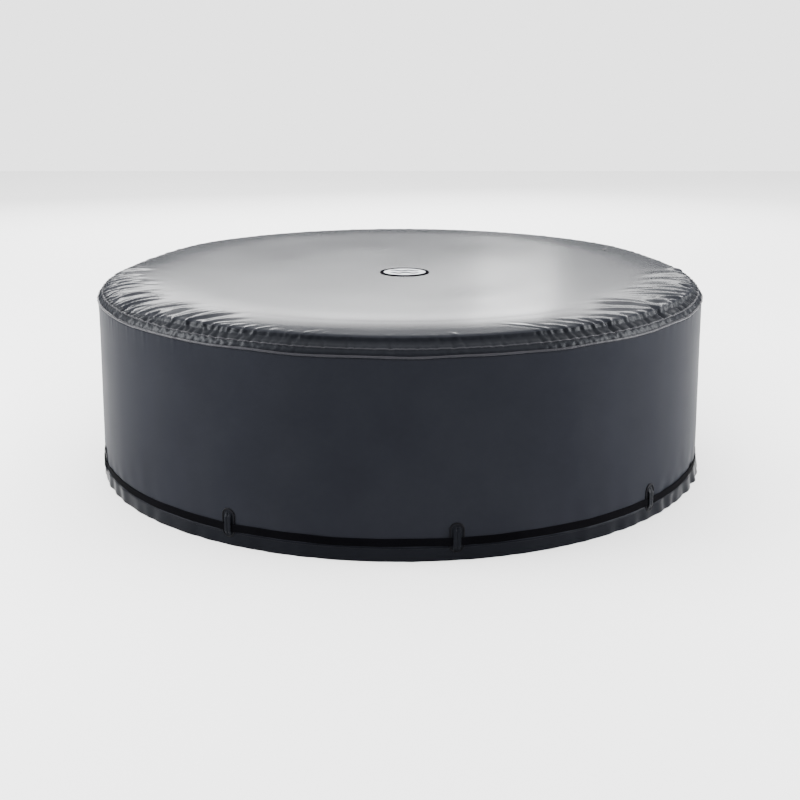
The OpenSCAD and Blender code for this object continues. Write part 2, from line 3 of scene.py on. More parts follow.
import bpy
import numpy as np
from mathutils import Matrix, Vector


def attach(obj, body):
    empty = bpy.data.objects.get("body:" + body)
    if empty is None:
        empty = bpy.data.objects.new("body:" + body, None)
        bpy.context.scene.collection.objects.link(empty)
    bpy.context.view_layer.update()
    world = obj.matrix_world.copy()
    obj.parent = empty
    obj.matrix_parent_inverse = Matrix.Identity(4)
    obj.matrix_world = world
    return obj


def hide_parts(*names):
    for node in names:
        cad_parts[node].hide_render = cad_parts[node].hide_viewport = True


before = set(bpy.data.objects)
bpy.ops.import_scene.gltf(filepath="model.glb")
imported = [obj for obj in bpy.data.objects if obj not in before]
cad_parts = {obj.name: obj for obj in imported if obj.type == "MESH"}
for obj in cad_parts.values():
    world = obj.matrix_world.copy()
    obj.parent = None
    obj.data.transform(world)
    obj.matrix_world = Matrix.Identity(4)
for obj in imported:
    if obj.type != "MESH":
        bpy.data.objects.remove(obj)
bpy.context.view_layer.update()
TAU = 2 * math.pi

# ---- camera, light and floor ----

scene = bpy.context.scene
CAMERA_TILT = 0.2783
cam = bpy.data.cameras.new("camera")
cam.lens = 59.27
camera = bpy.data.objects.new("camera", cam)
camera.location = (0, -4.851, 1.584)
camera.rotation_euler = (math.pi / 2 - CAMERA_TILT, 0, 0)
scene.collection.objects.link(camera)
scene.camera = camera


def softbox(name, place, target, size, power):
    lamp = bpy.data.lights.new(name, "AREA")
    lamp.energy = power
    lamp.shape = "RECTANGLE"
    lamp.size, lamp.size_y = size
    made = bpy.data.objects.new(name, lamp)
    made.location = place
    made.rotation_euler = (Vector(target) - Vector(place)).to_track_quat("-Z", "Y").to_euler()
    scene.collection.objects.link(made)


softbox("light_top", (0, 1.0, 9.0), (0, 1.0, 0), (30, 30), 10200)
softbox("light_back", (-1.5, 7.0, 2.98), (0, 0, 0.7), (6.2, 1.2), 470)
softbox("light_back_right", (2.6, 7.0, 2.98), (0, 0, 0.7), (4.0, 1.2), 190)
softbox("light_left", (-5.0, -0.9, 2.2), (0, 0, 0.5), (3.5, 2.6), 820)
softbox("light_right", (5.0, -0.9, 1.5), (0, 0, 0.5), (3.5, 2.6), 760)
# A pale backdrop, and a weak even fill
world = bpy.data.worlds.new("studio")
scene.world = world
world.use_nodes = True
sky = world.node_tree
fill = sky.nodes["Background"]
fill.inputs[1].default_value = 0.15
backdrop = sky.nodes.new("ShaderNodeBackground")
backdrop.inputs[1].default_value = 2.75
for shade in (fill, backdrop):
    shade.inputs[0].default_value = (1, 1, 1, 1)
choose = sky.nodes.new("ShaderNodeMixShader")
seen = sky.nodes.new("ShaderNodeLightPath")
for k, socket in enumerate((seen.outputs["Is Camera Ray"], fill.outputs[0], backdrop.outputs[0])):
    sky.links.new(socket, choose.inputs[k])
sky.links.new(choose.outputs[0], sky.nodes["World Output"].inputs[0])

# ---- materials ----


def nodes_of(name):
    mat = bpy.data.materials.new(name)
    mat.use_nodes = True
    return mat, mat.node_tree


def add(tree, kind, inputs=(), **settings):
    made = tree.nodes.new("ShaderNode" + kind)
    for key, value in settings.items():
        setattr(made, key, value)
    for key, value in dict(inputs).items():
        if isinstance(value, bpy.types.NodeSocket):
            tree.links.new(value, made.inputs[key])
        else:
            made.inputs[key].default_value = value
    return made


def blend_colour(tree, factor, a, b):
    inputs = {"Factor": factor}
    for key, value in ((6, a), (7, b)):
        inputs[key] = value if isinstance(value, bpy.types.NodeSocket) else (*value, 1)
    return add(tree, "Mix", inputs, data_type="RGBA").outputs[2]


def ranged(tree, value, lo, hi, to_lo, to_hi):
    ends = {"From Min": lo, "From Max": hi, "To Min": to_lo, "To Max": to_hi}
    return add(tree, "MapRange", {"Value": value, **ends}).outputs["Result"]


def noise(tree, vector, scale, detail, roughness=0.5):
    inputs = {"Vector": vector, "Scale": scale, "Detail": detail, "Roughness": roughness}
    return add(tree, "TexNoise", inputs).outputs["Fac"]


def surface(name, colour, other, rough, pattern, scale, depth, wear=None, **sockets):
    """A material with two-tone colour variation, wear, a bump pattern at real scale and uneven roughness.
    scale is the pattern's repeats in a metre, depth its height in metres."""
    mat, tree = nodes_of(name)
    shader = tree.nodes["Principled BSDF"]
    place = add(tree, "TexCoord").outputs["Object"]
    cut = add(tree, "UVMap", uv_map="cloth").outputs["UV"]
    cloud = noise(tree, place, 3.1, 4)
    fine = noise(tree, place, scale * 0.5, 3)
    tone = blend_colour(tree, ranged(tree, cloud, 0.35, 0.65, 0, 1), colour, other)
    tone = blend_colour(tree, ranged(tree, fine, 0.62, 0.8, 0, 0.35), tone, other)
    if pattern in ("grain", "plastic"):
        cells = add(tree, "TexVoronoi", {"Vector": place, "Scale": scale}, feature="SMOOTH_F1")
        height = cells.outputs["Distance"]
    elif pattern == "bubbles":
        cells = add(tree, "TexVoronoi", {"Vector": place, "Scale": scale, "Randomness": 0.35})
        height = ranged(tree, cells.outputs["Distance"], 0.15, 0.6, 1, 0)
    elif pattern == "ribs":
        slanted = add(tree, "Mapping", {"Vector": cut, "Rotation": (0, 0, math.radians(45))})
        twill = add(tree, "TexWave", {"Vector": slanted.outputs[0], "Scale": scale * 0.05, "Distortion": 0.4})
        cross = add(tree, "TexWave", {"Vector": cut, "Scale": scale * 0.04}, bands_direction="Y")
        both = {0: twill.outputs["Fac"], 1: cross.outputs["Fac"]}
        height = add(tree, "Math", both, operation="MULTIPLY").outputs[0]
    elif pattern == "brushed":
        squeezed = add(tree, "Mapping", {"Vector": place, "Scale": (1, 1, 14)})
        height = noise(tree, squeezed.outputs[0], scale, 2)
    else:
        height = noise(tree, place, scale, 5, 0.7)
    if wear:
        edge = add(tree, "NewGeometry").outputs["Pointiness"]
        tone = blend_colour(tree, ranged(tree, edge, 0.52, 0.62, 0, 0.5), tone, wear)
    tree.links.new(tone, shader.inputs["Base Color"])
    tree.links.new(
        ranged(tree, cloud, 0.3, 0.7, rough * 0.92, rough * 1.08), shader.inputs["Roughness"]
    )
    bump = add(tree, "Bump", {"Strength": 0.6, "Distance": depth, "Height": height})
    tree.links.new(bump.outputs[0], shader.inputs["Normal"])
    for key, value in sockets.items():
        shader.inputs[key.replace("_", " ")].default_value = value
    return mat


def cover_cloth(name, colour, other, rough, specular, sheen=0.012):
    """The cover's coated cloth, with its cool highlights; parts of it lie and shine differently, and its
    darker copies carry painted shade.
    """
    return surface(
        name, colour, other, rough, "grain", 900, 0.00003, Specular_IOR_Level=specular,
        Specular_Tint=(0.90, 0.95, 1, 1), Sheen_Weight=sheen, Sheen_Roughness=0.45,
        Sheen_Tint=(0.88, 0.94, 1, 1),
    )


fabric = cover_cloth("cover_fabric", (0.0086, 0.0092, 0.0120), (0.0104, 0.0111, 0.0142), 0.20, 0.018, 0.025)
fabric_side = cover_cloth(
    "cover_fabric_side", (0.0088, 0.0094, 0.0122), (0.0106, 0.0113, 0.0144), 0.38, 0.008
)
# Gusset and seam strip: the same cloth at about half its colour, painted shade beneath the overhanging crease
under_crease_cloth_painted_shade = cover_cloth(
    "cover_under_crease_cloth_painted_shade", (0.0046, 0.0050, 0.0066), (0.0064, 0.0069, 0.0090), 0.36, 0.055
)
# Hem and belt loops: the same cloth made darker still, painted shade near the floor
lower_cloth_painted_shade = cover_cloth(
    "cover_lower_cloth_painted_shade", (0.0034, 0.0037, 0.0050), (0.0046, 0.0050, 0.0066), 0.30, 0.02
)
piping_vinyl = surface(
    "piping_vinyl", (0.015, 0.015, 0.018), (0.021, 0.021, 0.025), 0.34, "grain", 1400, 0.00003,
    Specular_IOR_Level=0.10,
)
rim_vinyl = surface(
    "loop_rim_vinyl", (0.0022, 0.0022, 0.0028), (0.0036, 0.0036, 0.0044), 0.4, "grain", 1400, 0.00003,
    Specular_IOR_Level=0.03,
)
webbing = surface(
    "strap_webbing", (0.0007, 0.0007, 0.0010), (0.0015, 0.0015, 0.0020), 0.8, "ribs", 700, 0.00035,
    Specular_IOR_Level=0.01,
)
thread = surface(
    "seam_thread", (0.006, 0.006, 0.008), (0.010, 0.010, 0.012), 0.7, "noise", 2500, 0.0001,
    Specular_IOR_Level=0.1,
)
badge_black = surface(
    "badge_black", (0.0030, 0.0030, 0.0038), (0.0050, 0.0050, 0.0060), 0.6, "plastic", 1500, 0.00003,
    Specular_IOR_Level=0.0,
)
badge_white = surface(
    "badge_white", (0.50, 0.51, 0.53), (0.43, 0.45, 0.47), 0.5, "plastic", 1500, 0.00003,
    Specular_IOR_Level=0.1,
)
foam = surface(
    "insulation_foam", (0.30, 0.32, 0.34), (0.24, 0.255, 0.28), 0.5, "bubbles", 90, 0.0012,
    Sheen_Weight=0.15,
)
film = surface(
    "lining_film", (0.16, 0.17, 0.185), (0.125, 0.135, 0.15), 0.45, "grain", 1100, 0.00008,
    Sheen_Weight=0.1,
)
pad_vinyl = surface(
    "bladder_vinyl", (0.10, 0.16, 0.23), (0.075, 0.125, 0.19), 0.36, "grain", 700, 0.00008,
    wear=(0.17, 0.24, 0.31), Specular_IOR_Level=0.5,
)
tub_vinyl = surface(
    "tub_vinyl", (0.022, 0.024, 0.028), (0.016, 0.0175, 0.021), 0.46, "grain", 750, 0.0001,
    wear=(0.040, 0.042, 0.046), Specular_IOR_Level=0.22, Sheen_Weight=0.03,
)
liner_vinyl = surface(
    "liner_vinyl", (0.25, 0.29, 0.32), (0.20, 0.24, 0.27), 0.40, "grain", 650, 0.0001,
    wear=(0.34, 0.37, 0.39), Specular_IOR_Level=0.5,
)
mat_foam = surface(
    "ground_foam", (0.050, 0.072, 0.088), (0.038, 0.056, 0.070), 0.8, "bubbles", 160, 0.0006,
    Sheen_Weight=0.2,
)
moulded = surface(
    "moulded_plastic", (0.022, 0.0235, 0.026), (0.016, 0.0175, 0.020), 0.42, "plastic", 900, 0.00008,
    wear=(0.060, 0.060, 0.064),
)
pale = surface(
    "pale_plastic", (0.66, 0.67, 0.66), (0.58, 0.59, 0.58), 0.36, "plastic", 900, 0.00006,
    wear=(0.75, 0.75, 0.74), Subsurface_Weight=0.05,
)
paper = surface("filter_paper", (0.78, 0.78, 0.74), (0.64, 0.63, 0.56), 0.85, "noise", 700, 0.0003)
rubber = surface("seal_rubber", (0.012, 0.012, 0.012), (0.02, 0.02, 0.02), 0.7, "noise", 1500, 0.0001)
steel = surface(
    "spring_steel", (0.52, 0.52, 0.53), (0.42, 0.42, 0.44), 0.28, "brushed", 500, 0.00004,
    wear=(0.7, 0.7, 0.7), Metallic=1.0,
)
zip_black = surface("zip_black", (0.012, 0.012, 0.013), (0.022, 0.022, 0.024), 0.5, "ribs", 900, 0.0003)
zip_metal = surface(
    "zip_metal", (0.36, 0.36, 0.38), (0.28, 0.28, 0.30), 0.35, "brushed", 900, 0.00004,
    wear=(0.6, 0.6, 0.6), Metallic=1.0,
)

# ---- mesh helpers ----


def mesh_piece(name, points, faces, mat, body, slot, uv=None):
    mesh = bpy.data.meshes.new(name)
    points = np.asarray(points, float).reshape(-1, 3)
    faces = np.asarray(faces, np.int32)
    mesh.vertices.add(len(points))
    mesh.vertices.foreach_set("co", points.ravel())
    mesh.loops.add(faces.size)
    mesh.loops.foreach_set("vertex_index", faces.ravel())
    mesh.polygons.add(len(faces))
    mesh.polygons.foreach_set("loop_start", np.arange(0, faces.size, faces.shape[1]))
    mesh.polygons.foreach_set("loop_total", np.full(len(faces), faces.shape[1]))
    mesh.polygons.foreach_set("use_smooth", np.full(len(faces), True))
    if uv is not None:
        layer = mesh.uv_layers.new(name="cloth")
        layer.data.foreach_set("uv", np.asarray(uv, float).reshape(-1, 2)[faces.ravel()].ravel())
    mesh.update(calc_edges=True)
    mesh.validate()
    mesh.materials.append(mat)
    made = bpy.data.objects.new(name, mesh)
    scene.collection.objects.link(made)
    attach(made, body)
    return made


def grid_faces(rows, columns, closed=True, wrap=False):
    """Quads of a grid; closed joins its last column to the first, wrap its last row to the first."""
    j, i = np.meshgrid(np.arange(rows if wrap else rows - 1),
                       np.arange(columns if closed else columns - 1), indexing="ij")
    nj, ni = (j + 1) % rows, (i + 1) % columns
    quads = np.stack([j * columns + i, nj * columns + i, nj * columns + ni, j * columns + ni], -1)
    return quads.reshape(-1, 4)


def fan(count):
    """Quads that close a ring of points, across it from side to side."""
    return np.array([[i, i + 1, count - 2 - i, count - 1 - i] for i in range(count // 2 - 1)])


def capped_faces(points):
    """Quads of a grid with its first row closed."""
    rows, columns = points.shape[:2]
    return np.concatenate([grid_faces(rows, columns), fan(columns)])


def strip_faces(rows, columns, way):
    """Quads of a strip whose rows go round its section, with both ends closed; way turns the ends over."""
    ends = [(fan(rows) * columns + c)[:, ::flip] for c, flip in ((0, way), (columns - 1, -way))]
    return np.concatenate([grid_faces(rows, columns, closed=False, wrap=True), *ends])


def grid_uv(points):
    """Cloth coordinates in metres: along the row, then down the columns."""
    across = np.linalg.norm(np.roll(points, -1, 1) - points, axis=-1)
    down = np.linalg.norm(np.diff(points, axis=0), axis=-1).mean(1)
    u = np.cumsum(across.mean(0))[None].repeat(len(points), 0)
    v = np.concatenate([[0], np.cumsum(down)])[:, None].repeat(points.shape[1], 1)
    return np.stack([u, v], -1)


def grid_piece(name, points, mat, body, slot):
    rows, columns = points.shape[:2]
    return mesh_piece(name, points, grid_faces(rows, columns), mat, body, slot, grid_uv(points))


def many(parts):
    """Joins (points, faces) parts into one."""
    points, faces, count = [], [], 0
    for p, f in parts:
        p = np.asarray(p, float).reshape(-1, 3)
        points.append(p)
        faces.append(np.asarray(f) + count)
        count += len(p)
    return np.concatenate(points), np.concatenate(faces)


def modifier(piece, kind, **settings):
    made = piece.modifiers.new(kind.lower(), kind)
    for key, value in settings.items():
        setattr(made, key, value)
    return made


def turned(angles):
    """Outward unit vectors at azimuths from the front (-Y) towards +X."""
    angles = np.asarray(angles, float)
    return np.stack([np.sin(angles), -np.cos(angles), 0 * angles], -1)


def revolved(profile, columns):
    """Points of a profile of (r, z) turned round the axis, and the outward normals."""
    profile = np.asarray(profile, float)
    angles = np.arange(columns) * TAU / columns
    out = turned(angles)
    points = profile[:, None, :1] * out[None]
    points[..., 2] = profile[:, None, 1]
    along = np.gradient(profile, axis=0)
    along /= np.linalg.norm(along, axis=1)[:, None]
    normals = -along[:, None, 1:] * out[None]
    normals[..., 2] = along[:, None, 0]
    return points, normals, angles


def resampled(line, step):
    """Even points along a smooth line through the given ones, with the distance along it."""
    line = np.array(line, float)
    smooth = []
    for i in range(len(line) - 1):
        a, b, c, d = line[max(i - 1, 0)], line[i], line[i + 1], line[min(i + 2, len(line) - 1)]
        for t in np.linspace(0, 1, 20, endpoint=False):
            smooth.append(0.5 * (2 * b + (c - a) * t + (2 * a - 5 * b + 4 * c - d) * t * t
                                 + (3 * b - a - 3 * c + d) * t ** 3))
    smooth = np.array(smooth + [line[-1]])
    run = np.concatenate([[0], np.cumsum(np.linalg.norm(np.diff(smooth, axis=0), axis=1))])
    at = np.linspace(0, run[-1], max(2, round(run[-1] / step) + 1))
    return np.stack([np.interp(at, run, smooth[:, k]) for k in (0, 1)], 1), at


def tube_parts(path, normals, radius, sides=10, squash=1.0):
    """(points, faces) of a closed tube round a closed path; normals point out of the surface it lies on."""
    ahead = np.roll(path, -1, 0) - np.roll(path, 1, 0)
    ahead /= np.linalg.norm(ahead, axis=1)[:, None]
    side = np.cross(ahead, normals)
    side /= np.linalg.norm(side, axis=1)[:, None]
    up = np.cross(side, ahead)
    angles = np.arange(sides) * TAU / sides
    ring = (np.cos(angles)[None, :, None] * side[:, None] * squash
            + np.sin(angles)[None, :, None] * up[:, None])
    points = path[:, None] + ring * np.broadcast_to(radius, (len(path),))[:, None, None]
    return points, grid_faces(len(path), sides, wrap=True)


def stitch_parts(path, normals, length=0.0042, pitch=0.006, r=0.00045):
    """(points, faces) of a row of stitches along a closed path."""
    step = np.linalg.norm(np.roll(path, -1, 0) - path, axis=1)
    run = np.concatenate([[0], np.cumsum(step)])
    loop = np.concatenate([path, path[:1]])
    ups = np.concatenate([normals, normals[:1]])
    count = int(run[-1] / pitch)
    mids = np.arange(count) * run[-1] / count
    at = [np.stack([np.interp(mids + d, run, loop[:, k], period=run[-1]) for k in range(3)], 1)
          for d in (-length / 2, -length / 4, length / 4, length / 2)]
    up = np.stack([np.interp(mids, run, ups[:, k], period=run[-1]) for k in range(3)], 1)
    ahead = at[3] - at[0]
    ahead /= np.linalg.norm(ahead, axis=1)[:, None]
    side = np.cross(ahead, up)
    rings = []
    for p, size in zip(at, (0.3, 1.0, 1.0, 0.3)):
        for c, s in ((1, 0), (0.5, 0.87), (-0.5, 0.87), (-1, 0), (-0.5, -0.87), (0.5, -0.87)):
            rings.append(p + (side * c + up * s) * r * size + up * r * 0.3)
    points = np.stack(rings, 1).reshape(count, 4, 6, 3)
    ends = np.array([[0, 1, 2, 3], [0, 3, 4, 5], [21, 20, 19, 18], [23, 22, 21, 18]])
    one = np.concatenate([grid_faces(4, 6), ends])
    return points.reshape(-1, 3), (one[None] + 24 * np.arange(count)[:, None, None]).reshape(-1, 4)


def waves(angles, count, low, high, seed):
    """Smooth periodic noise of about unit size."""
    draw = np.random.default_rng(seed)
    k = draw.integers(low, high, count)
    phase = draw.uniform(0, TAU, count)
    size = draw.normal(0, 1, count)
    return (size[:, None] * np.sin(k[:, None] * angles[None] + phase[:, None])).sum(0) / math.sqrt(count)


def ease(a, b, x):
    t = np.clip((np.asarray(x, float) - a) / (b - a), 0, 1)
    return t * t * (3 - 2 * t)


# ---- the cover, one cloth from the middle of its top to its hem ----

# Heights and radii in metres, as in the design
SEAM_R, SEAM_Z, HEM_R, HEM_H = 1.100, 0.642, 1.113, 0.045
SLOPE = (HEM_R - SEAM_R) / SEAM_Z
TOP_Z = 0.712
FLAT_R = 0.70
# The simulated rows end on the skirt at this height
LOW_Z = 0.50
CREASE = (1.0650, 0.6890)
UPPER_SEAM = (1.0865, 0.6640)
COLUMNS = 1120
STEP = 0.0062


def skirt_r(z):
    return SEAM_R + (SEAM_Z - z) * SLOPE


SKIRT_LINE = [(SEAM_R, SEAM_Z), (1.1006, 0.6200), (skirt_r(0.56), 0.56), (skirt_r(LOW_Z), LOW_Z)]
COVER_LINE = [
    (FLAT_R, TOP_Z), (0.78, 0.7119), (0.84, 0.7115), (0.90, 0.7099), (0.95, 0.7066), (1.00, 0.7017),
    (1.03, 0.6976), (1.050, 0.6944), (1.062, 0.6915), CREASE, (1.0620, 0.6840), (1.0670, 0.6745),
    (1.0780, 0.6685), UPPER_SEAM, (1.0925, 0.6560), *SKIRT_LINE,
]
# Where the shoulder is rounder, the cloth follows this line instead
ROUND_CREASE = (1.0700, 0.6705)
ROUND_UPPER_SEAM = (1.0835, 0.6635)
ROUND_LINE = [
    (FLAT_R, TOP_Z), (0.78, 0.7118), (0.84, 0.7108), (0.90, 0.7080), (0.95, 0.7030), (1.00, 0.6945),
    (1.03, 0.6868), (1.050, 0.6800), (1.062, 0.6745), ROUND_CREASE, (1.0755, 0.6680), (1.0800, 0.6660),
    ROUND_UPPER_SEAM, (1.0875, 0.6605), (1.0935, 0.6540), *SKIRT_LINE,
]


def nearest(line, place):
    """Index of the point of a line that is closest to a place."""
    return int(np.argmin(np.hypot(line[:, 0] - place[0], line[:, 1] - place[1])))


line, run = resampled(COVER_LINE, STEP)
ROWS = len(line)
crease, seam_2, seam = (nearest(line, place) for place in (CREASE, UPPER_SEAM, (SEAM_R, SEAM_Z)))


def matched(line, count):
    """The same line with a set number of points, spaced as the seams of the cover's own line are."""
    dense, at = resampled(line, 0.001)
    places = ((FLAT_R, TOP_Z), ROUND_CREASE, ROUND_UPPER_SEAM, (SEAM_R, SEAM_Z), (skirt_r(LOW_Z), LOW_Z))
    marks = [float(at[nearest(dense, place)]) for place in places]
    where = np.interp(np.arange(count), [0, crease, seam_2, seam, count - 1], marks)
    return np.stack([np.interp(where, at, dense[:, k]) for k in (0, 1)], 1)


rest, out, theta = revolved(line, COLUMNS)
degrees = (np.degrees(theta) + 180) % 360 - 180
# How far each azimuth follows the rounder line: fully at the left, partly at the right
shoulder = ease(-36, -58, degrees) * ease(-132, -104, degrees)
shoulder += 0.6 * ease(60, 78, degrees) * ease(128, 104, degrees)
rounded, round_out, _ = revolved(matched(ROUND_LINE, ROWS), COLUMNS)
rest += (rounded - rest) * shoulder[None, :, None]
out += (round_out - out) * shoulder[None, :, None]
out /= np.linalg.norm(out, axis=-1)[..., None]


def near(centre, width):
    away = (degrees - centre + 180) % 360 - 180
    return np.exp(-(away / width) ** 2)


# Folds that fan in from the edge: azimuths from and to in degrees, how many, reach, half width, height,
# how far they slant, how round they are, and how much of them runs on below the seam
FANS = [
    (-130, -98, 9, 0.100, 0.0130, 0.0020, 0.35, 1.8, 0.1),
    (-98, -34, 21, 0.150, 0.0125, 0.0040, 0.35, 1.5, 0.40),
    (-34, -13, 10, 0.050, 0.0080, 0.0024, 0.55, 1.5, 0.1),
    (-13, 24, 9, 0.030, 0.0110, 0.0013, 0.30, 2.0, 0.0),
    (24, 46, 8, 0.085, 0.0130, 0.0042, 0.55, 1.8, 0.1),
    (46, 96, 15, 0.165, 0.0190, 0.0054, 0.45, 2.0, 0.10),
    (96, 130, 12, 0.080, 0.0120, 0.0016, 0.40, 2.0, 0.1),
    (130, 230, 44, 0.060, 0.0110, 0.0009, 0.40, 1.7, 0.1),
]


def fold_heights(run, radius, draw):
    """Height of the laid folds over the cover's edge."""
    height = np.zeros((len(run), COLUMNS))
    to_edge = run[crease] - run[:, None]
    below = -to_edge
    drop = run[seam] - run[crease]
    for lo, hi, count, reach, width, tall, slant, power, tail in FANS:
        for k in range(count):
            at = math.radians(lo + (hi - lo) * (k + draw.uniform(0.1, 0.9)) / count)
            far = reach * draw.uniform(0.45, 1.35)
            wide = width * draw.uniform(0.7, 1.35)
            high = tall * draw.uniform(0.35, 1.2)
            lean = slant * draw.uniform(0.5, 1.35)
            turn = -1 if (lo + hi) / 2 < 0 else 1
            if lo >= 130:
                turn = draw.choice([-1, 1])
            inward = np.clip(to_edge, 0, None)
            shift = -turn * lean * inward * (1 + 0.8 * inward / far)
            shift += turn * 0.35 * np.clip(below, 0, drop)
            off = (theta[None] - at + math.pi) % TAU - math.pi
            lateral = off * radius[:, None] - shift
            spread = wide * (0.55 + 0.6 * np.clip(inward / 0.05, 0, 1) + 0.5 * inward / far)
            rise = ease(0, 0.7, 1 - inward / far)
            fall = 1 - (1 - 0.25 - 0.5 * tail) * ease(0, drop, below)
            sink = np.where(below > drop, np.exp(-(below - drop) / 0.028), 1)
            over = np.where(below > drop, tail / (0.25 + 0.5 * tail), 1)
            x = np.abs(lateral) / spread
            shape = np.exp(-x ** power) - 0.38 * np.exp(-((x - 1.9) / 0.9) ** 2)
            height += high * rise * fall * sink * over * shape
    return height


PUCKERS = 165


def pucker_heights(run, radius, draw, loose):
    """Height of the short slanted puckers gathered between the crease and the seam."""
    height = np.zeros((len(run), COLUMNS))
    below = run - run[crease]
    upper, drop = run[seam_2] - run[crease], run[seam] - run[crease]
    belly = np.where(below < upper, np.sin(math.pi * np.clip(below / upper, 0, 1)),
                     0.7 * np.sin(math.pi * np.clip((below - upper) / (drop - upper), 0, 1)))
    belly = np.maximum(belly, 0)
    belly = belly + 0.08 * np.exp(-(below / 0.012) ** 2) + 0.18 * np.exp(-((below - drop) / 0.01) ** 2)
    for k in range(PUCKERS):
        at = TAU * (k + draw.uniform(0, 1)) / PUCKERS
        wide = draw.uniform(0.0034, 0.0100)
        high = draw.uniform(0.0004, 0.0026) * np.interp(at, theta, loose)
        lean = draw.uniform(0.3, 1.3) * (1 if draw.uniform() < 0.75 else -0.7)
        lateral = ((theta[None] - at + math.pi) % TAU - math.pi) * radius[:, None] + lean * below[:, None]
        x = np.abs(lateral) / wide
        height += high * belly[:, None] * (np.exp(-x ** 1.6) - 0.3 * np.exp(-((x - 1.9) / 0.9) ** 2))
    return height


EYELET_R, EYELET_AZIMUTH = 0.922, math.radians(117)
EYELET_X, EYELET_Y = EYELET_R * math.sin(EYELET_AZIMUTH), -EYELET_R * math.cos(EYELET_AZIMUTH)
CALM_R = 0.090
draw = np.random.default_rng(5)
# How loose the cloth is at each azimuth
loose = 0.22 + 0.9 * near(72, 30) + 0.85 * near(-70, 32) + 0.55 * near(150, 30) + 0.6 * near(-150, 35)
loose = np.clip(loose * (1 + 0.35 * waves(theta, 12, 6, 30, 3)), 0.12, 1.4)
height = fold_heights(run, line[:, 0], draw)
# The cloth lies flat round the vent eyelet
calm = 1 - np.exp(-(np.hypot(rest[..., 0] - EYELET_X, rest[..., 1] - EYELET_Y) / CALM_R) ** 4)
height *= calm
height += pucker_heights(run, line[:, 0], draw, 0.55 + loose) * (1 - 0.7 * shoulder)
# Slow unevenness of the tight skirt and of the seams
slack = 0.0011 * waves(theta, 8, 2, 9, 21) + 0.00010 * waves(theta, 14, 18, 60, 22)
height += slack[None] * ease(run[seam] - 0.05, run[seam] + 0.08, run)[:, None]
from_seam = (run - run[seam])[:, None]
height += 0.0004 * waves(theta, 10, 10, 60, 23) * near(-75, 45) * np.exp(-(from_seam / 0.03) ** 2)
start = rest + out * height[..., None]
start[..., 2] += 0.0011 * waves(theta, 10, 5, 40, 24)[None] * np.exp(-(from_seam / 0.02) ** 2)

# Spare cloth along the rows, down the columns, and shear
extra = np.zeros((ROWS, COLUMNS))
reach = 0.10 + 0.05 * near(70, 28) - 0.05 * near(0, 35)
for j in range(ROWS):
    if j <= crease:
        extra[j] = 0.022 * loose * ease(0, 1, 1 - (run[crease] - run[j]) / reach)
    elif j <= seam_2:
        extra[j] = 0.070 * loose + 0.016
    elif j <= seam:
        extra[j] = 0.040 * loose + 0.010
    else:
        extra[j] = 0.012 * loose * math.exp(-(run[j] - run[seam]) / 0.020)
swirl = -0.30 * near(-70, 40) + 0.24 * near(72, 35) + 0.1 * waves(theta, 6, 2, 9, 11)
shear = swirl[None] * ease(0, 1, 1 - np.abs(run - run[crease]) / 0.12)[:, None] * 0.4


def gap_of(a, b):
    return np.linalg.norm(b - a, axis=-1)


along = gap_of(start, np.roll(start, -1, 1)) * (1 + extra)
spare = 0.006 * loose[None] * ease(run[crease] - 0.12, run[crease] - 0.04, run)[1:, None]
down = gap_of(start[:-1], start[1:]) * (1 + spare)
falling = gap_of(start[:-1], np.roll(start[1:], -1, 1)) * (1 + 0.5 * extra[1:] + 0.5 * shear[1:])
rising = gap_of(start[:-1], np.roll(start[1:], 1, 1)) * (1 + 0.5 * extra[1:] - 0.5 * shear[1:])
over_two = along + np.roll(along, -1, 1)
down_two = down[1:] + down[:-1]
# How freely each row moves: the ends and the sewn lower seam are held
weight = np.ones(ROWS)
weight[:3] = 0
weight[-3:] = 0
weight[seam] = 0
weight[seam - 1], weight[seam + 1] = 0.5, 0.4
weight[seam_2] = 0.3
weight[crease] = 0.8
# How far the cloth may leave the laid shape, out and in
stops = [0, run[crease] - 0.14, run[crease] - 0.03, run[crease], run[seam_2], run[seam]]
stops += [run[seam] + 0.05, run[-1]]
may_rise = np.interp(run, stops, [0.0, 0.0005, 0.003, 0.004, 0.003, 0.0015, 0.0006, 0.0001])[:, None] * calm
may_sink = np.interp(run, stops, [0.0, 0.0005, 0.003, 0.005, 0.003, 0.0015, 0.0006, 0.0001])[:, None] * calm
held = weight[:, None] * np.ones((1, COLUMNS))
cloth = start.copy()
# A small smoothed disturbance for the spare cloth to grow its wrinkles from
jitter = draw.normal(0, 1, (ROWS, COLUMNS))
for _ in range(3):
    jitter = 0.5 * jitter + 0.25 * (np.roll(jitter, 1, 1) + np.roll(jitter, -1, 1))
    jitter[1:-1] = 0.5 * jitter[1:-1] + 0.25 * (jitter[2:] + jitter[:-2])
cloth += out * (jitter * 0.003 * weight[:, None] * (extra > 0.002))[..., None]


def pull(a, b, length, wa, wb, stiff):
    """Moves both ends of each thread towards its length, in place."""
    d = b - a
    now = np.sqrt((d * d).sum(-1))
    total = np.where(wa + wb > 0, wa + wb, 1)
    push = (stiff * (now - length) / (total * np.maximum(now, 1e-9)))[..., None] * d
    a += push * wa[..., None]
    b -= push * wb[..., None]


def pull_rows(offset, stride, hop, length, stiff):
    at = np.arange(offset, COLUMNS, stride)
    to = (at + hop) % COLUMNS
    a, b = cloth[:, at], cloth[:, to]
    pull(a, b, length[:, at], held[:, at], held[:, to], stiff)
    cloth[:, at], cloth[:, to] = a, b


def pull_columns(offset, stride, hop, length, stiff, twist=0):
    at = np.arange(offset, ROWS - hop, stride)
    a, b = cloth[at], np.roll(cloth[at + hop], -twist, 1)
    pull(a, b, length[at], held[at], held[at + hop], stiff)
    cloth[at], cloth[at + hop] = a, np.roll(b, twist, 1)


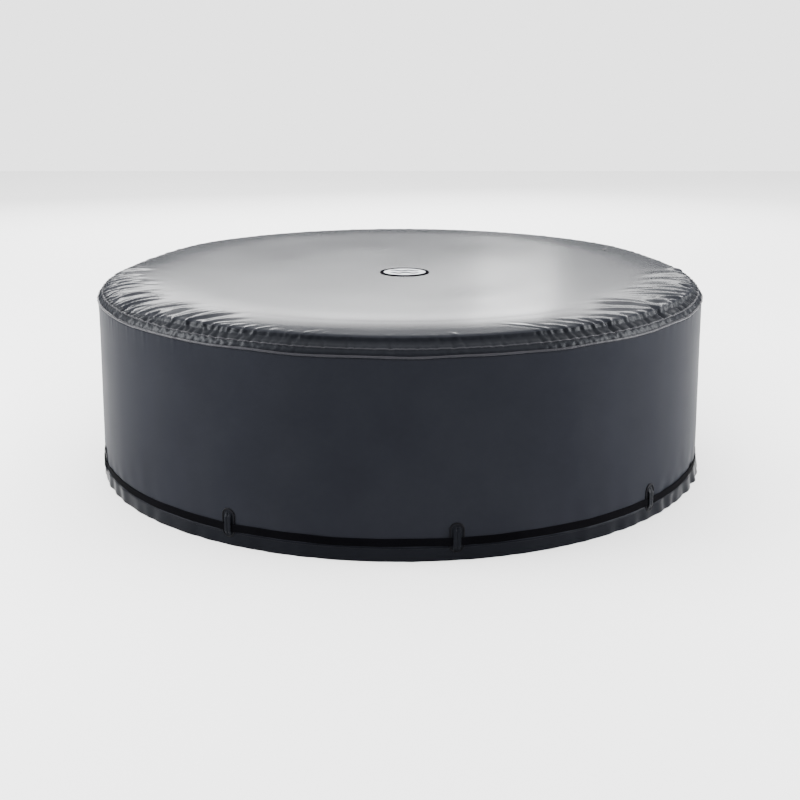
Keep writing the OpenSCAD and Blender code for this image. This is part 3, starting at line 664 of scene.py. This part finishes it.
def settle(steps, passes):
    """Moves the cloth until its threads have their lengths."""
    speed = np.zeros_like(cloth)
    for _ in range(steps):
        before = cloth.copy()
        cloth[:] += speed * 0.93 + out * (0.00005 * held)[..., None]
        for _ in range(passes):
            for first in (0, 1):
                pull_rows(first, 2, 1, along, 0.9)
            for first in (0, 1):
                pull_columns(first, 2, 1, down, 0.9)
            for first in (0, 1):
                pull_columns(first, 2, 1, falling, 0.35, 1)
                pull_columns(first, 2, 1, rising, 0.35, -1)
            for first in (0, 1, 2, 3):
                pull_rows(first, 4, 2, over_two, 0.10)
                pull_columns(first, 4, 2, down_two, 0.10)
            lift = ((cloth - start) * out).sum(-1)
            kept = np.clip(lift, -may_sink, may_rise)
            cloth[:] += out * (kept - lift)[..., None]
            cloth[weight == 0] = start[weight == 0]
        speed = cloth - before


settle(60, 4)

# The lower skirt and the hem, below the rows that were simulated
STRAP_LOW, STRAP_HIGH = 0.050, 0.075
low_line = np.array([(skirt_r(z), z) for z in np.linspace(LOW_Z, HEM_H, 38)])
low, low_out, _ = revolved(low_line, COLUMNS)
depth = (LOW_Z - low_line[:, 1]) / LOW_Z
ripple = 0.0009 * waves(theta, 16, 24, 90, 31)[None] * ease(0.55, 1, depth)[:, None]
bunched = 0.0024 * waves(theta, 16, 30, 100, 32) * (near(62, 24) + 0.6 * near(-60, 25))
ripple += bunched[None] * ease(0.72, 1, depth)[:, None]
# The strap presses the skirt in
ripple -= 0.0008 * np.exp(-((low_line[:, 1] - (STRAP_LOW + STRAP_HIGH) / 2) / 0.02) ** 2)[:, None]
low += low_out * (slack[None] * (1 - 0.3 * depth[:, None]) + ripple)[..., None]
low[0] = cloth[-1]
skirt = np.concatenate([cloth[seam:-1], low])

# The flat middle of the top, inside the rows that were simulated
middle_r = np.linspace(0.004, 0.694, 36)
middle, _, _ = revolved([(r, TOP_Z) for r in middle_r], COLUMNS)
sway = (0.0008 * np.sin(3.1 * middle[..., 0] + 1) * np.sin(4.3 * middle[..., 1])
        + 0.0005 * np.sin(9 * middle[..., 0] - 5 * middle[..., 1]))
middle[..., 2] += sway * ease(0.66, 0.40, middle_r)[:, None]

COVER = ("cover", "cover_fabric")
top_points = np.concatenate([middle, cloth[:crease + 1]])
top_panel = mesh_piece(
    "top_panel", top_points, capped_faces(top_points), fabric, *COVER, grid_uv(top_points)
)
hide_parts("cover_top_panel")
# The gusset and the seam strip get the copy of the cloth that is darkened with painted shade
gusset = grid_piece("gusset", cloth[crease:seam_2 + 1], under_crease_cloth_painted_shade, *COVER)
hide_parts("cover_gusset")
band = grid_piece("seam_strip", cloth[seam_2:seam + 1], under_crease_cloth_painted_shade, *COVER)
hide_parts("seam_band")
skirt_piece = grid_piece("skirt", skirt, fabric_side, *COVER)
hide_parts("cover_skirt")

# The hem: one strip folded in two over the skirt's edge
hem_line = [(skirt_r(0.046) + 0.0004, 0.047), (skirt_r(0.044) + 0.0014, 0.0455)]
hem_line += [(skirt_r(z) + 0.0016, z) for z in np.linspace(0.042, 0.004, 7)]
hem_line += [(HEM_R + 0.0010, 0.0012), (HEM_R - 0.0006, 0.0002), (HEM_R - 0.0020, 0.0014)]
hem_line += [(skirt_r(z) - 0.0018, z) for z in np.linspace(0.006, 0.044, 5)]
hem, _, _ = revolved(hem_line, COLUMNS)
hem_depth = np.clip((0.05 - np.array(hem_line)[:, 1]) / 0.05, 0, 1)
side = turned(theta)
offset = np.linalg.norm(skirt[-1][:, :2], axis=1) - skirt_r(HEM_H)
extra_flare = 0.0016 * waves(theta, 14, 40, 130, 33) * (0.35 + 1.2 * near(62, 25) + 0.5 * near(-60, 30))
extra_flare += 0.009 * near(76, 16)
hem += side[None] * (offset[None] + extra_flare[None] * hem_depth[:, None])[..., None]
hem[..., 2] = np.maximum(hem[..., 2], 0.0002)
# The hem gets the copy of the cloth that is darkened with painted shade
hem_piece = grid_piece("hem_fold", hem, lower_cloth_painted_shade, *COVER)
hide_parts("hem_band")

# Piping follows the sewn lines
low_path = cloth[seam] + side * 0.0012
piping = mesh_piece(
    "piping_at_seam", *tube_parts(low_path, side, 0.0038 + 0.0003 * waves(theta, 8, 20, 90, 41)),
    piping_vinyl, "cover", "piping",
)
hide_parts("piping_lower")
high_path = cloth[seam_2] + (side + np.array([0, 0, 0.6])) * 0.0006
piping = mesh_piece(
    "piping_above", *tube_parts(high_path, side, 0.0023 + 0.0002 * waves(theta, 8, 20, 90, 42)),
    piping_vinyl, "cover", "piping",
)
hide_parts("piping_upper")


def path_at(points, out_by, drop=0.0):
    """A closed path just outside a row of points, with its outward normals."""
    path = points + side * out_by
    path[:, 2] -= drop
    return path, side


rows_of_stitches = [
    path_at(hem[2], 0.0003), path_at(skirt[1], 0.0002), path_at(cloth[seam - 1], 0.0004, 0.001),
]
mesh_piece(
    "hem_and_seam_stitching", *many([stitch_parts(p, n) for p, n in rows_of_stitches]),
    thread, "cover", "webbing",
)

# ---- strap, loops, badge ----

LOOPS = [math.radians(a) for a in (9, 48, 88, 128, 168, 208, 248, 288, 331)]
STRAP_WIDE = STRAP_HIGH - STRAP_LOW
STRAP_THICK = 0.002


def strap_strip(name, first, last, base, count, lift=None):
    """Webbing with rounded edges along the skirt between two azimuths, both ends closed."""
    angles = np.linspace(first, last, count)
    across = [(0.0, 0.25), (0.04, 0.02), (0.14, -0.02), (0.5, 0.0),
              (0.86, -0.02), (0.96, 0.02), (1.0, 0.25)]
    section = [(v, 1 - t) for v, t in across] + [(v, t) for v, t in reversed(across)]
    wander = 0.0007 * np.sin(angles * 17 + 1) + 0.0004 * np.sin(angles * 41)
    raised = np.zeros(count)
    for a in LOOPS:
        off = (angles - a + math.pi) % TAU - math.pi
        raised = np.maximum(raised, 0.0022 * np.exp(-(off * HEM_R / 0.036) ** 4))
    if lift is not None:
        raised = raised + lift(angles)
    points = np.zeros((len(section), count, 3))
    for k, (v, t) in enumerate(section):
        z = STRAP_LOW + STRAP_WIDE * v + wander
        r = skirt_r(z) + base + raised + STRAP_THICK * t
        points[k] = r[:, None] * turned(angles)
        points[k, :, 2] = z
    cut = np.meshgrid(angles * HEM_R, [v * STRAP_WIDE + t * STRAP_THICK for v, t in section])
    faces = strip_faces(len(section), count, 1)
    return mesh_piece(name, points, faces, webbing, "cover", "webbing", np.stack(cut, -1))


# Half the gap in the strap where the buckle sits
GAP_ANGLE = 0.0236 / HEM_R
strap = strap_strip("strap_round_skirt", math.pi + GAP_ANGLE, 3 * math.pi - GAP_ANGLE, 0.0005, 1400)
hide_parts("cinch_strap")
tail = strap_strip(
    "strap_free_end", math.radians(178), math.radians(192), 0.0026, 90,
    lambda a: 0.0035 * ease(math.radians(188.5), math.radians(192), a),
)
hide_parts("strap_tail")


LOOP_Z = 0.075


def loop_frame(azimuth, points):
    """Local points (tangent, up the skirt, outward) at a loop's place, in the object's frame."""
    points = np.asarray(points, float)
    tilt = math.atan(SLOPE)
    out_way, up_way = turned(azimuth), np.array([0, 0, 1.0])
    tangent = np.array([math.cos(azimuth), math.sin(azimuth), 0])
    up_skirt = up_way * math.cos(tilt) - out_way * math.sin(tilt)
    normal = out_way * math.cos(tilt) + up_way * math.sin(tilt)
    origin = out_way * skirt_r(LOOP_Z) + up_way * LOOP_Z
    drop = HEM_R - np.sqrt(HEM_R ** 2 - points[..., 0:1] ** 2)
    return (origin + points[..., 0:1] * tangent + points[..., 1:2] * up_skirt
            + (points[..., 2:3] - drop) * normal)


PATCH_H, PATCH_W = 0.094, 0.046
PATCH_POINTS = 72
BRIDGE_POINTS = 29


def stadium(scale, height):
    """Outline of the patch, drawn in towards its middle line by scale, at a height above the skirt."""
    t = np.arange(PATCH_POINTS) * TAU / PATCH_POINTS
    straight = (PATCH_H - PATCH_W) / 2
    x, y = np.cos(t) * PATCH_W / 2 * scale, np.sin(t) * PATCH_W / 2 * scale
    return np.stack([x, y + np.where(np.sin(t) >= 0, straight, -straight), np.full(PATCH_POINTS, height)], -1)


# The patch as (scale, height) from its edge to its middle, and the bridge's section as (across, height)
patch_rings = [(1.0, 0.0003), (0.985, 0.0012), (0.90, 0.0013), (0.80, 0.0009), (0.5, 0.0010), (0.02, 0.0010)]
cross = [(-0.0120, 0.2), (-0.0116, 0.9), (-0.0105, 1.05), (-0.0040, 1.15), (-0.0016, 1.15),
         (-0.0010, 0.35), (0.0010, 0.35), (0.0016, 1.15), (0.0040, 1.15), (0.0105, 1.05),
         (0.0116, 0.9), (0.0120, 0.2), (0.0105, 0.0), (-0.0105, 0.0)]
BRIDGE_THICK = 0.0015
rings = np.stack([stadium(s, h) for s, h in patch_rings])
patch_faces = np.concatenate([
    grid_faces(len(patch_rings), PATCH_POINTS),
    (len(patch_rings) - 1) * PATCH_POINTS + fan(PATCH_POINTS)[:, [0, 3, 2, 1]],
])
# The bridge: a strip sewn down at both ends, bowed over the strap, with a pressed groove
steps = np.linspace(-1, 1, BRIDGE_POINTS)
strip = np.zeros((len(cross), BRIDGE_POINTS, 3))
for k, (x, h) in enumerate(cross):
    strip[k, :, 0] = x * (1 - 0.12 * ease(0.85, 1, np.abs(steps)))
    strip[k, :, 1] = -0.0035 + 0.0375 * steps
    strip[k, :, 2] = 0.0012 + 0.0052 * (1 - ease(0.55, 0.93, np.abs(steps))) + h * BRIDGE_THICK
bridge_faces = strip_faces(len(cross), BRIDGE_POINTS, -1)
patch, rims, loop_thread, bridges = [], [], [], []
for azimuth in LOOPS:
    patch.append((loop_frame(azimuth, rings), patch_faces))
    above, origin = loop_frame(azimuth, [[0, 0, 1.0], [0, 0, 0.0]])
    normals = np.broadcast_to(above - origin, (PATCH_POINTS, 3))
    rims.append(tube_parts(loop_frame(azimuth, stadium(0.95, 0.0011)), normals, 0.0019, 8, 1.15))
    loop_thread.append(stitch_parts(loop_frame(azimuth, stadium(0.80, 0.0012)), normals))
    bridges.append((loop_frame(azimuth, strip), bridge_faces))
# The loop patches and bridges get the copy of the cloth that is darkened with painted shade
patches = mesh_piece("loop_patches", *many(patch), lower_cloth_painted_shade, *COVER)
mesh_piece("loop_patch_rims", *many(rims), rim_vinyl, "cover", "piping")
mesh_piece("loop_stitching", *many(loop_thread), thread, "cover", "webbing")
bridge = mesh_piece("loop_bridges", *many(bridges), lower_cloth_painted_shade, *COVER)
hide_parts("belt_loop_patches")
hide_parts("belt_loop_bridges")

BADGE = np.array([0.017, -0.103, 0.71205])
BADGE_HALF_X, BADGE_HALF_Y = 0.090, 0.080
OVAL_POINTS = 160
WAVE_POINTS = 60


def oval(inset, height):
    t = np.arange(OVAL_POINTS) * TAU / OVAL_POINTS
    x, y = (BADGE_HALF_X - inset) * np.cos(t), (BADGE_HALF_Y - inset) * np.sin(t)
    return BADGE + np.stack([x, y, 0 * t + height], -1)


rim_section = [(0.0, 0.0), (0.0003, 0.0014), (0.0018, 0.0029), (0.0045, 0.0035), (0.0095, 0.0034),
               (0.0125, 0.0028), (0.0138, 0.0016), (0.0140, 0.0), (0.0070, -0.0002)]
rim = np.stack([oval(i, h) for i, h in rim_section])
rim = mesh_piece(
    "badge_rim_moulding", rim, grid_faces(len(rim_section), OVAL_POINTS, wrap=True), badge_black,
    "cover", "badge_dark",
)
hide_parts("badge_rim")
field_section = [(0.0135, 0.0), (0.0138, 0.0014), (0.0150, 0.0018), (0.03, 0.0021), (0.055, 0.0022),
                 (0.0785, 0.0022)]
field = np.stack([oval(i, h) for i, h in field_section])
field_faces = np.concatenate([
    grid_faces(len(field_section), OVAL_POINTS), (len(field_section) - 1) * OVAL_POINTS + fan(OVAL_POINTS)
])
field = mesh_piece("badge_field", field, field_faces, badge_white, "cover", "badge_pale")
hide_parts("badge_plate")
# Two plain waves, one above the other
ripples = []
WAVE_HALF = 0.052
for row, at in enumerate((0.023, -0.021)):
    x = np.linspace(-WAVE_HALF, WAVE_HALF, WAVE_POINTS)
    centre = at + 0.0080 * np.sin(x / 0.026 * math.pi + row)
    fat = 0.0105 * np.sqrt(np.clip(1 - (x / WAVE_HALF) ** 4, 0.02, 1))
    ribbon = np.stack([np.stack([x, centre + s * fat, np.full(WAVE_POINTS, h)], -1)
                       for s, h in ((-1, 0.0015), (-0.9, 0.0026), (0.9, 0.0026), (1, 0.0015))])
    ripples.append((BADGE + ribbon, grid_faces(4, WAVE_POINTS, closed=False, wrap=True)))
mesh_piece("badge_waves", *many(ripples), badge_black, "cover", "badge_dark")

# ---- inside the cover ----


def turned_piece(name, profile, columns, mat, body, slot, bend=None, capped=False):
    points, normals, angles = revolved(profile, columns)
    if bend is not None:
        points += normals * bend(points, angles)[..., None]
    faces = capped_faces(points) if capped else grid_faces(len(points), columns)
    return mesh_piece(name, points, faces, mat, body, slot, grid_uv(points))


def foam_z(r):
    """Height of the top foam, which follows the top panel down towards the edge."""
    panel_z = TOP_Z - 0.016 * max(0, (r - 0.8) / 0.262) ** 2
    return panel_z - 0.0045 - 0.012 * float(ease(0.82, 0.98, r)) - 0.014 * float(ease(0.97, 1.04, r))


FOAM_THICK = 0.0035


top_foam = turned_piece(
    "top_insulation_foam",
    [(r, foam_z(r)) for r in np.linspace(0.004, 1.040, 90)],
    480, foam, "cover", "insulation_foam",
    lambda p, a: 0.0009 * np.sin(p[..., 0] * 70) * np.sin(p[..., 1] * 70), True,
)
modifier(top_foam, "SOLIDIFY", thickness=FOAM_THICK, offset=-1)
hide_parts("top_insulation")
side_foam = turned_piece(
    "side_insulation_foam",
    [(skirt_r(z) - 0.0035 - 0.0045 * float(ease(0.50, 0.60, z)), z) for z in np.linspace(0.610, 0.060, 60)],
    600, foam, "cover", "insulation_foam",
    lambda p, a: 0.0006 * np.sin(a * 75)[None] * np.sin(p[..., 2] * 70),
)
modifier(side_foam, "SOLIDIFY", thickness=FOAM_THICK, offset=-1)
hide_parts("side_insulation")
lining = turned_piece(
    "lining_film_sheet", [(r, 0.6413) for r in np.linspace(0.004, 1.090, 80)], 480, film, "cover",
    "lining_film",
    lambda p, a: 0.00035 * np.sin(p[..., 0] * 23 + 1) * np.sin(p[..., 1] * 19)
    + 0.0003 * (waves(a, 10, 20, 70, 51)[None] * ease(0.8, 1.05, np.hypot(p[..., 0], p[..., 1]))),
    True,
)
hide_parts("lining_sheet")

# The air pad's lowest and highest point, its upper and lower skin, and the height between them
PAD_LOW, PAD_HIGH = 0.6427, 0.7000
PAD_TOP, PAD_BOTTOM, PAD_MIDDLE = 0.6955, 0.6440, 0.668
PAD_POINTS = 200
PAD_STEPS = 20
MAX_SWELL = 0.006
PAD_LINE = [(0.006, PAD_TOP), (0.3, PAD_TOP), (0.591, 0.6945), (0.80, 0.6885), (0.95, 0.6795),
            (0.985, 0.6745), (0.996, 0.6625), (0.985, 0.6500), (0.95, 0.6445), (0.6, PAD_BOTTOM),
            (0.3, PAD_BOTTOM), (0.006, PAD_BOTTOM)]


def vertices_of(mesh):
    co = np.zeros(len(mesh.vertices) * 3)
    mesh.vertices.foreach_get("co", co)
    return co.reshape(-1, 3)


def air_pad():
    """The lid's air pad: a welded disc, blown up as cloth under pressure."""
    dense, _ = resampled(PAD_LINE, 0.022)
    points, _, _ = revolved(dense, PAD_POINTS)
    last = (len(points) - 1) * PAD_POINTS
    faces = np.concatenate([capped_faces(points), last + fan(PAD_POINTS)[:, ::-1]])
    made = mesh_piece("lid_air_pad", points, faces, pad_vinyl, "cover", "bladder_skin")
    bpy.context.view_layer.objects.active = made
    made.select_set(True)
    mesh = made.data
    mesh.remesh_voxel_size = 0.020
    bpy.ops.object.voxel_remesh()
    before = vertices_of(mesh)
    sim = modifier(made, "CLOTH")
    sim.settings.use_pressure = True
    sim.settings.uniform_pressure_force = 4
    sim.settings.effector_weights.gravity = 0
    sim.settings.quality = 4
    sim.point_cache.frame_start, sim.point_cache.frame_end = 1, PAD_STEPS
    for f in range(1, PAD_STEPS + 1):
        scene.frame_set(f)
    blown = made.evaluated_get(bpy.context.evaluated_depsgraph_get()).to_mesh()
    move = vertices_of(blown) - before
    made.modifiers.clear()
    scene.frame_set(1)
    size = np.linalg.norm(move, axis=1)[:, None]
    move *= np.minimum(1, MAX_SWELL / np.maximum(size, 1e-9))
    mesh.vertices.foreach_set("co", (before + move).ravel())
    co = vertices_of(mesh)
    r = np.hypot(co[:, 0], co[:, 1])
    a = np.arctan2(co[:, 1], co[:, 0])
    # Welds: two rings and the spokes between them pull the upper skin down
    weld = sum(np.exp(-((r - at) / 0.016) ** 2) for at in (0.36, 0.68))
    spoke = np.exp(-(np.abs(np.sin(6 * a)) * r / 6 / 0.014) ** 2)
    spoke = spoke * ease(0.38, 0.42, r) * ease(0.66, 0.62, r)
    dip = 0.007 * np.clip(weld + spoke, 0, 1)
    upper = co[:, 2] > PAD_MIDDLE
    co[upper, 2] -= dip[upper]
    co[:, 2] = np.clip(co[:, 2], PAD_LOW, PAD_HIGH)
    mesh.vertices.foreach_set("co", co.ravel())
    mesh.materials.clear()
    mesh.materials.append(pad_vinyl)
    mesh.polygons.foreach_set("use_smooth", np.ones(len(mesh.polygons), bool))
    mesh.update()
    modifier(made, "SUBSURF", levels=1, render_levels=1)
    return made


pad = air_pad()
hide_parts("lid_bladder")
turned_piece(
    "lid_air_pad_weld",
    [(0.990, 0.6615), (1.000, 0.6612), (1.010, 0.6616), (1.0165, 0.6620),
     (1.0168, 0.6630), (1.010, 0.6636), (1.000, 0.6638), (0.990, 0.6635)],
    600, pad_vinyl, "cover", "bladder_skin", lambda p, a: 0.0008 * waves(a, 12, 30, 110, 52)[None],
)

# ---- tub skins ----


# Heights of the welded lines, radii of the walls and of the deck's edges
WELDS = (0.070, 0.250, 0.326, 0.506, 0.612)
OUTER_R, INNER_R, DECK_OUTER_R, DECK_INNER_R = 1.054, 0.825, 1.030, 0.850
DECK_Z = WELDS[-1]


def wall_bend(points, angles):
    """Small puckers either side of each welded line."""
    z = points[..., 2]
    made = np.zeros(points.shape[:2])
    for k, level in enumerate(WELDS):
        tight = np.exp(-np.abs(z - level) / 0.022)
        made += tight * 0.0011 * waves(angles, 10, 70, 170, 60 + k)[None]
        made -= 0.0012 * np.exp(-((z - level) / 0.004) ** 2)
    return made


def wall_profile(r, deck_r, way):
    """A wall from its foot to the deck, bulging between its welded lines; way is 1 outward, -1 inward."""
    low, a, b, c, high = WELDS
    line = [(r, 0.006), (r, low)]
    for (r0, z0), (r1, z1) in (((r, low), (r, a)), ((r, b), (r, c)), ((r, c), (deck_r, high))):
        if (r0, z0) != line[-1]:
            line.append((r0, z0))
        for t in np.linspace(0.05, 1, 20):
            line.append((r0 + (r1 - r0) * t + way * 0.009 * math.sin(math.pi * t), z0 + (z1 - z0) * t))
    dense = []
    for a, b in zip(line, line[1:]):
        steps = max(1, round(math.dist(a, b) / 0.008))
        dense += [(a[0] + (b[0] - a[0]) * k / steps, a[1] + (b[1] - a[1]) * k / steps) for k in range(steps)]
    return dense + [line[-1]]


outer_line = wall_profile(OUTER_R, DECK_OUTER_R, 1)
inner_line = wall_profile(INNER_R, DECK_INNER_R, -1)
outer_skin = turned_piece("tub_outer_skin", outer_line[::-1], 720, tub_vinyl, "tub", "tub_skin", wall_bend)
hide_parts("tub_outer_wall")
inner_skin = turned_piece("tub_inner_skin", inner_line, 600, liner_vinyl, "tub", "liner_skin", wall_bend)
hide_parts("tub_inner_wall")


def deck_bend(points, angles):
    """Small puckers along both edges of the deck."""
    r = np.hypot(points[..., 0], points[..., 1])
    made = np.zeros(points.shape[:2])
    for k, edge in enumerate((DECK_INNER_R, DECK_OUTER_R)):
        pucker = np.abs(waves(angles, 12, 60, 150, 70 + k))[None]
        made -= 0.0012 * pucker * np.exp(-np.abs(r - edge) / 0.02)
    return made


deck = turned_piece(
    "tub_deck_skin",
    [(DECK_OUTER_R - 0.180 * t, DECK_Z + 0.028 * math.sin(math.pi * t)) for t in np.linspace(0, 1, 36)][::-1],
    720, tub_vinyl, "tub", "tub_skin", deck_bend,
)
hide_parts("tub_top_deck")


BUBBLES = 42
BUBBLE_HIGH = 0.0030


def bubbled(points, angles):
    """Rows of low round bubbles with flat welds between them."""
    x, y = points[..., 0] * BUBBLES, points[..., 1] * BUBBLES
    return BUBBLE_HIGH * np.clip(np.cos(x) * np.cos(y) + 0.15, 0, 1)


floor_piece = turned_piece(
    "tub_floor_bubbles", [(r, 0.0108) for r in np.linspace(0.004, 0.768, 96)], 480, liner_vinyl, "tub",
    "liner_skin", bubbled, True,
)
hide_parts("floor_pad")
base_piece = turned_piece(
    "tub_base_skin", [(r, 0.0052) for r in np.linspace(0.004, 1.053, 60)], 480, tub_vinyl, "tub",
    "tub_skin", lambda p, a: 0.0004 * np.sin(p[..., 0] * 31) * np.sin(p[..., 1] * 29), True,
)
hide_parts("tub_base_panel")
mat_piece = turned_piece(
    "ground_mat_foam",
    [(0.004 + 1.066 * t, 0.0036) for t in np.linspace(0, 1, 90)] + [(1.0738, 0.0026), (1.0740, 0.0012),
                                                                 (1.0720, 0.0004)],
    480, mat_foam, "tub", "ground_foam",
    lambda p, a: -0.0006 * (np.abs(np.sin(p[..., :2] * 60)) ** 8).sum(-1).clip(0, 1), True,
)
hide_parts("ground_mat")

# ---- materials for the nodes that stay ----

STAYING = (
    (film, "wall_beams"), (liner_vinyl, "bubble_ring"), (tub_vinyl, "bubble_air_duct"),
    (webbing, "wall_handles"), (paper, "filter_cartridge"), (rim_vinyl, "vent_eyelet"),
    (moulded, "water_outlet_pipe water_return_pipe air_inlet_pipe fitting_nuts return_strainer filter_cap"),
    (moulded, "air_valve_body air_valve_cap drain_valve_body drain_valve_cap buckle_lever"),
    (pale, "filter_housing air_valve_poppet bladder_valve bladder_valve_plug"),
    (rubber, "fitting_gaskets air_valve_seal drain_valve_seal"),
    (steel, "air_valve_spring buckle_frame buckle_pin"),
    (zip_black, "zip_tape zip_coil"), (zip_metal, "zip_stops zip_slider zip_pull"),
)
for mat, names in STAYING:
    for name in names.split():
        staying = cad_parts[name]
        if not staying.material_slots:
            staying.data.materials.append(mat)
        for place in staying.material_slots:
            place.material = mat

# ---- floor ----

ground, ground_tree = nodes_of("studio_floor")
ground_shader = ground_tree.nodes["Principled BSDF"]
ground_shader.inputs["Base Color"].default_value = (0.90, 0.90, 0.90, 1)
ground_shader.inputs["Roughness"].default_value = 0.9
ground_shader.inputs["Specular IOR Level"].default_value = 0.1
floor_mesh = bpy.data.meshes.new("studio_floor")
FLOOR = 10
corners = [(-FLOOR, -FLOOR, 0), (FLOOR, -FLOOR, 0), (FLOOR, FLOOR, 0), (-FLOOR, FLOOR, 0)]
floor_mesh.from_pydata(corners, [], [(0, 1, 2, 3)])
floor_mesh.materials.append(ground)
floor = bpy.data.objects.new("studio_floor", floor_mesh)
scene.collection.objects.link(floor)
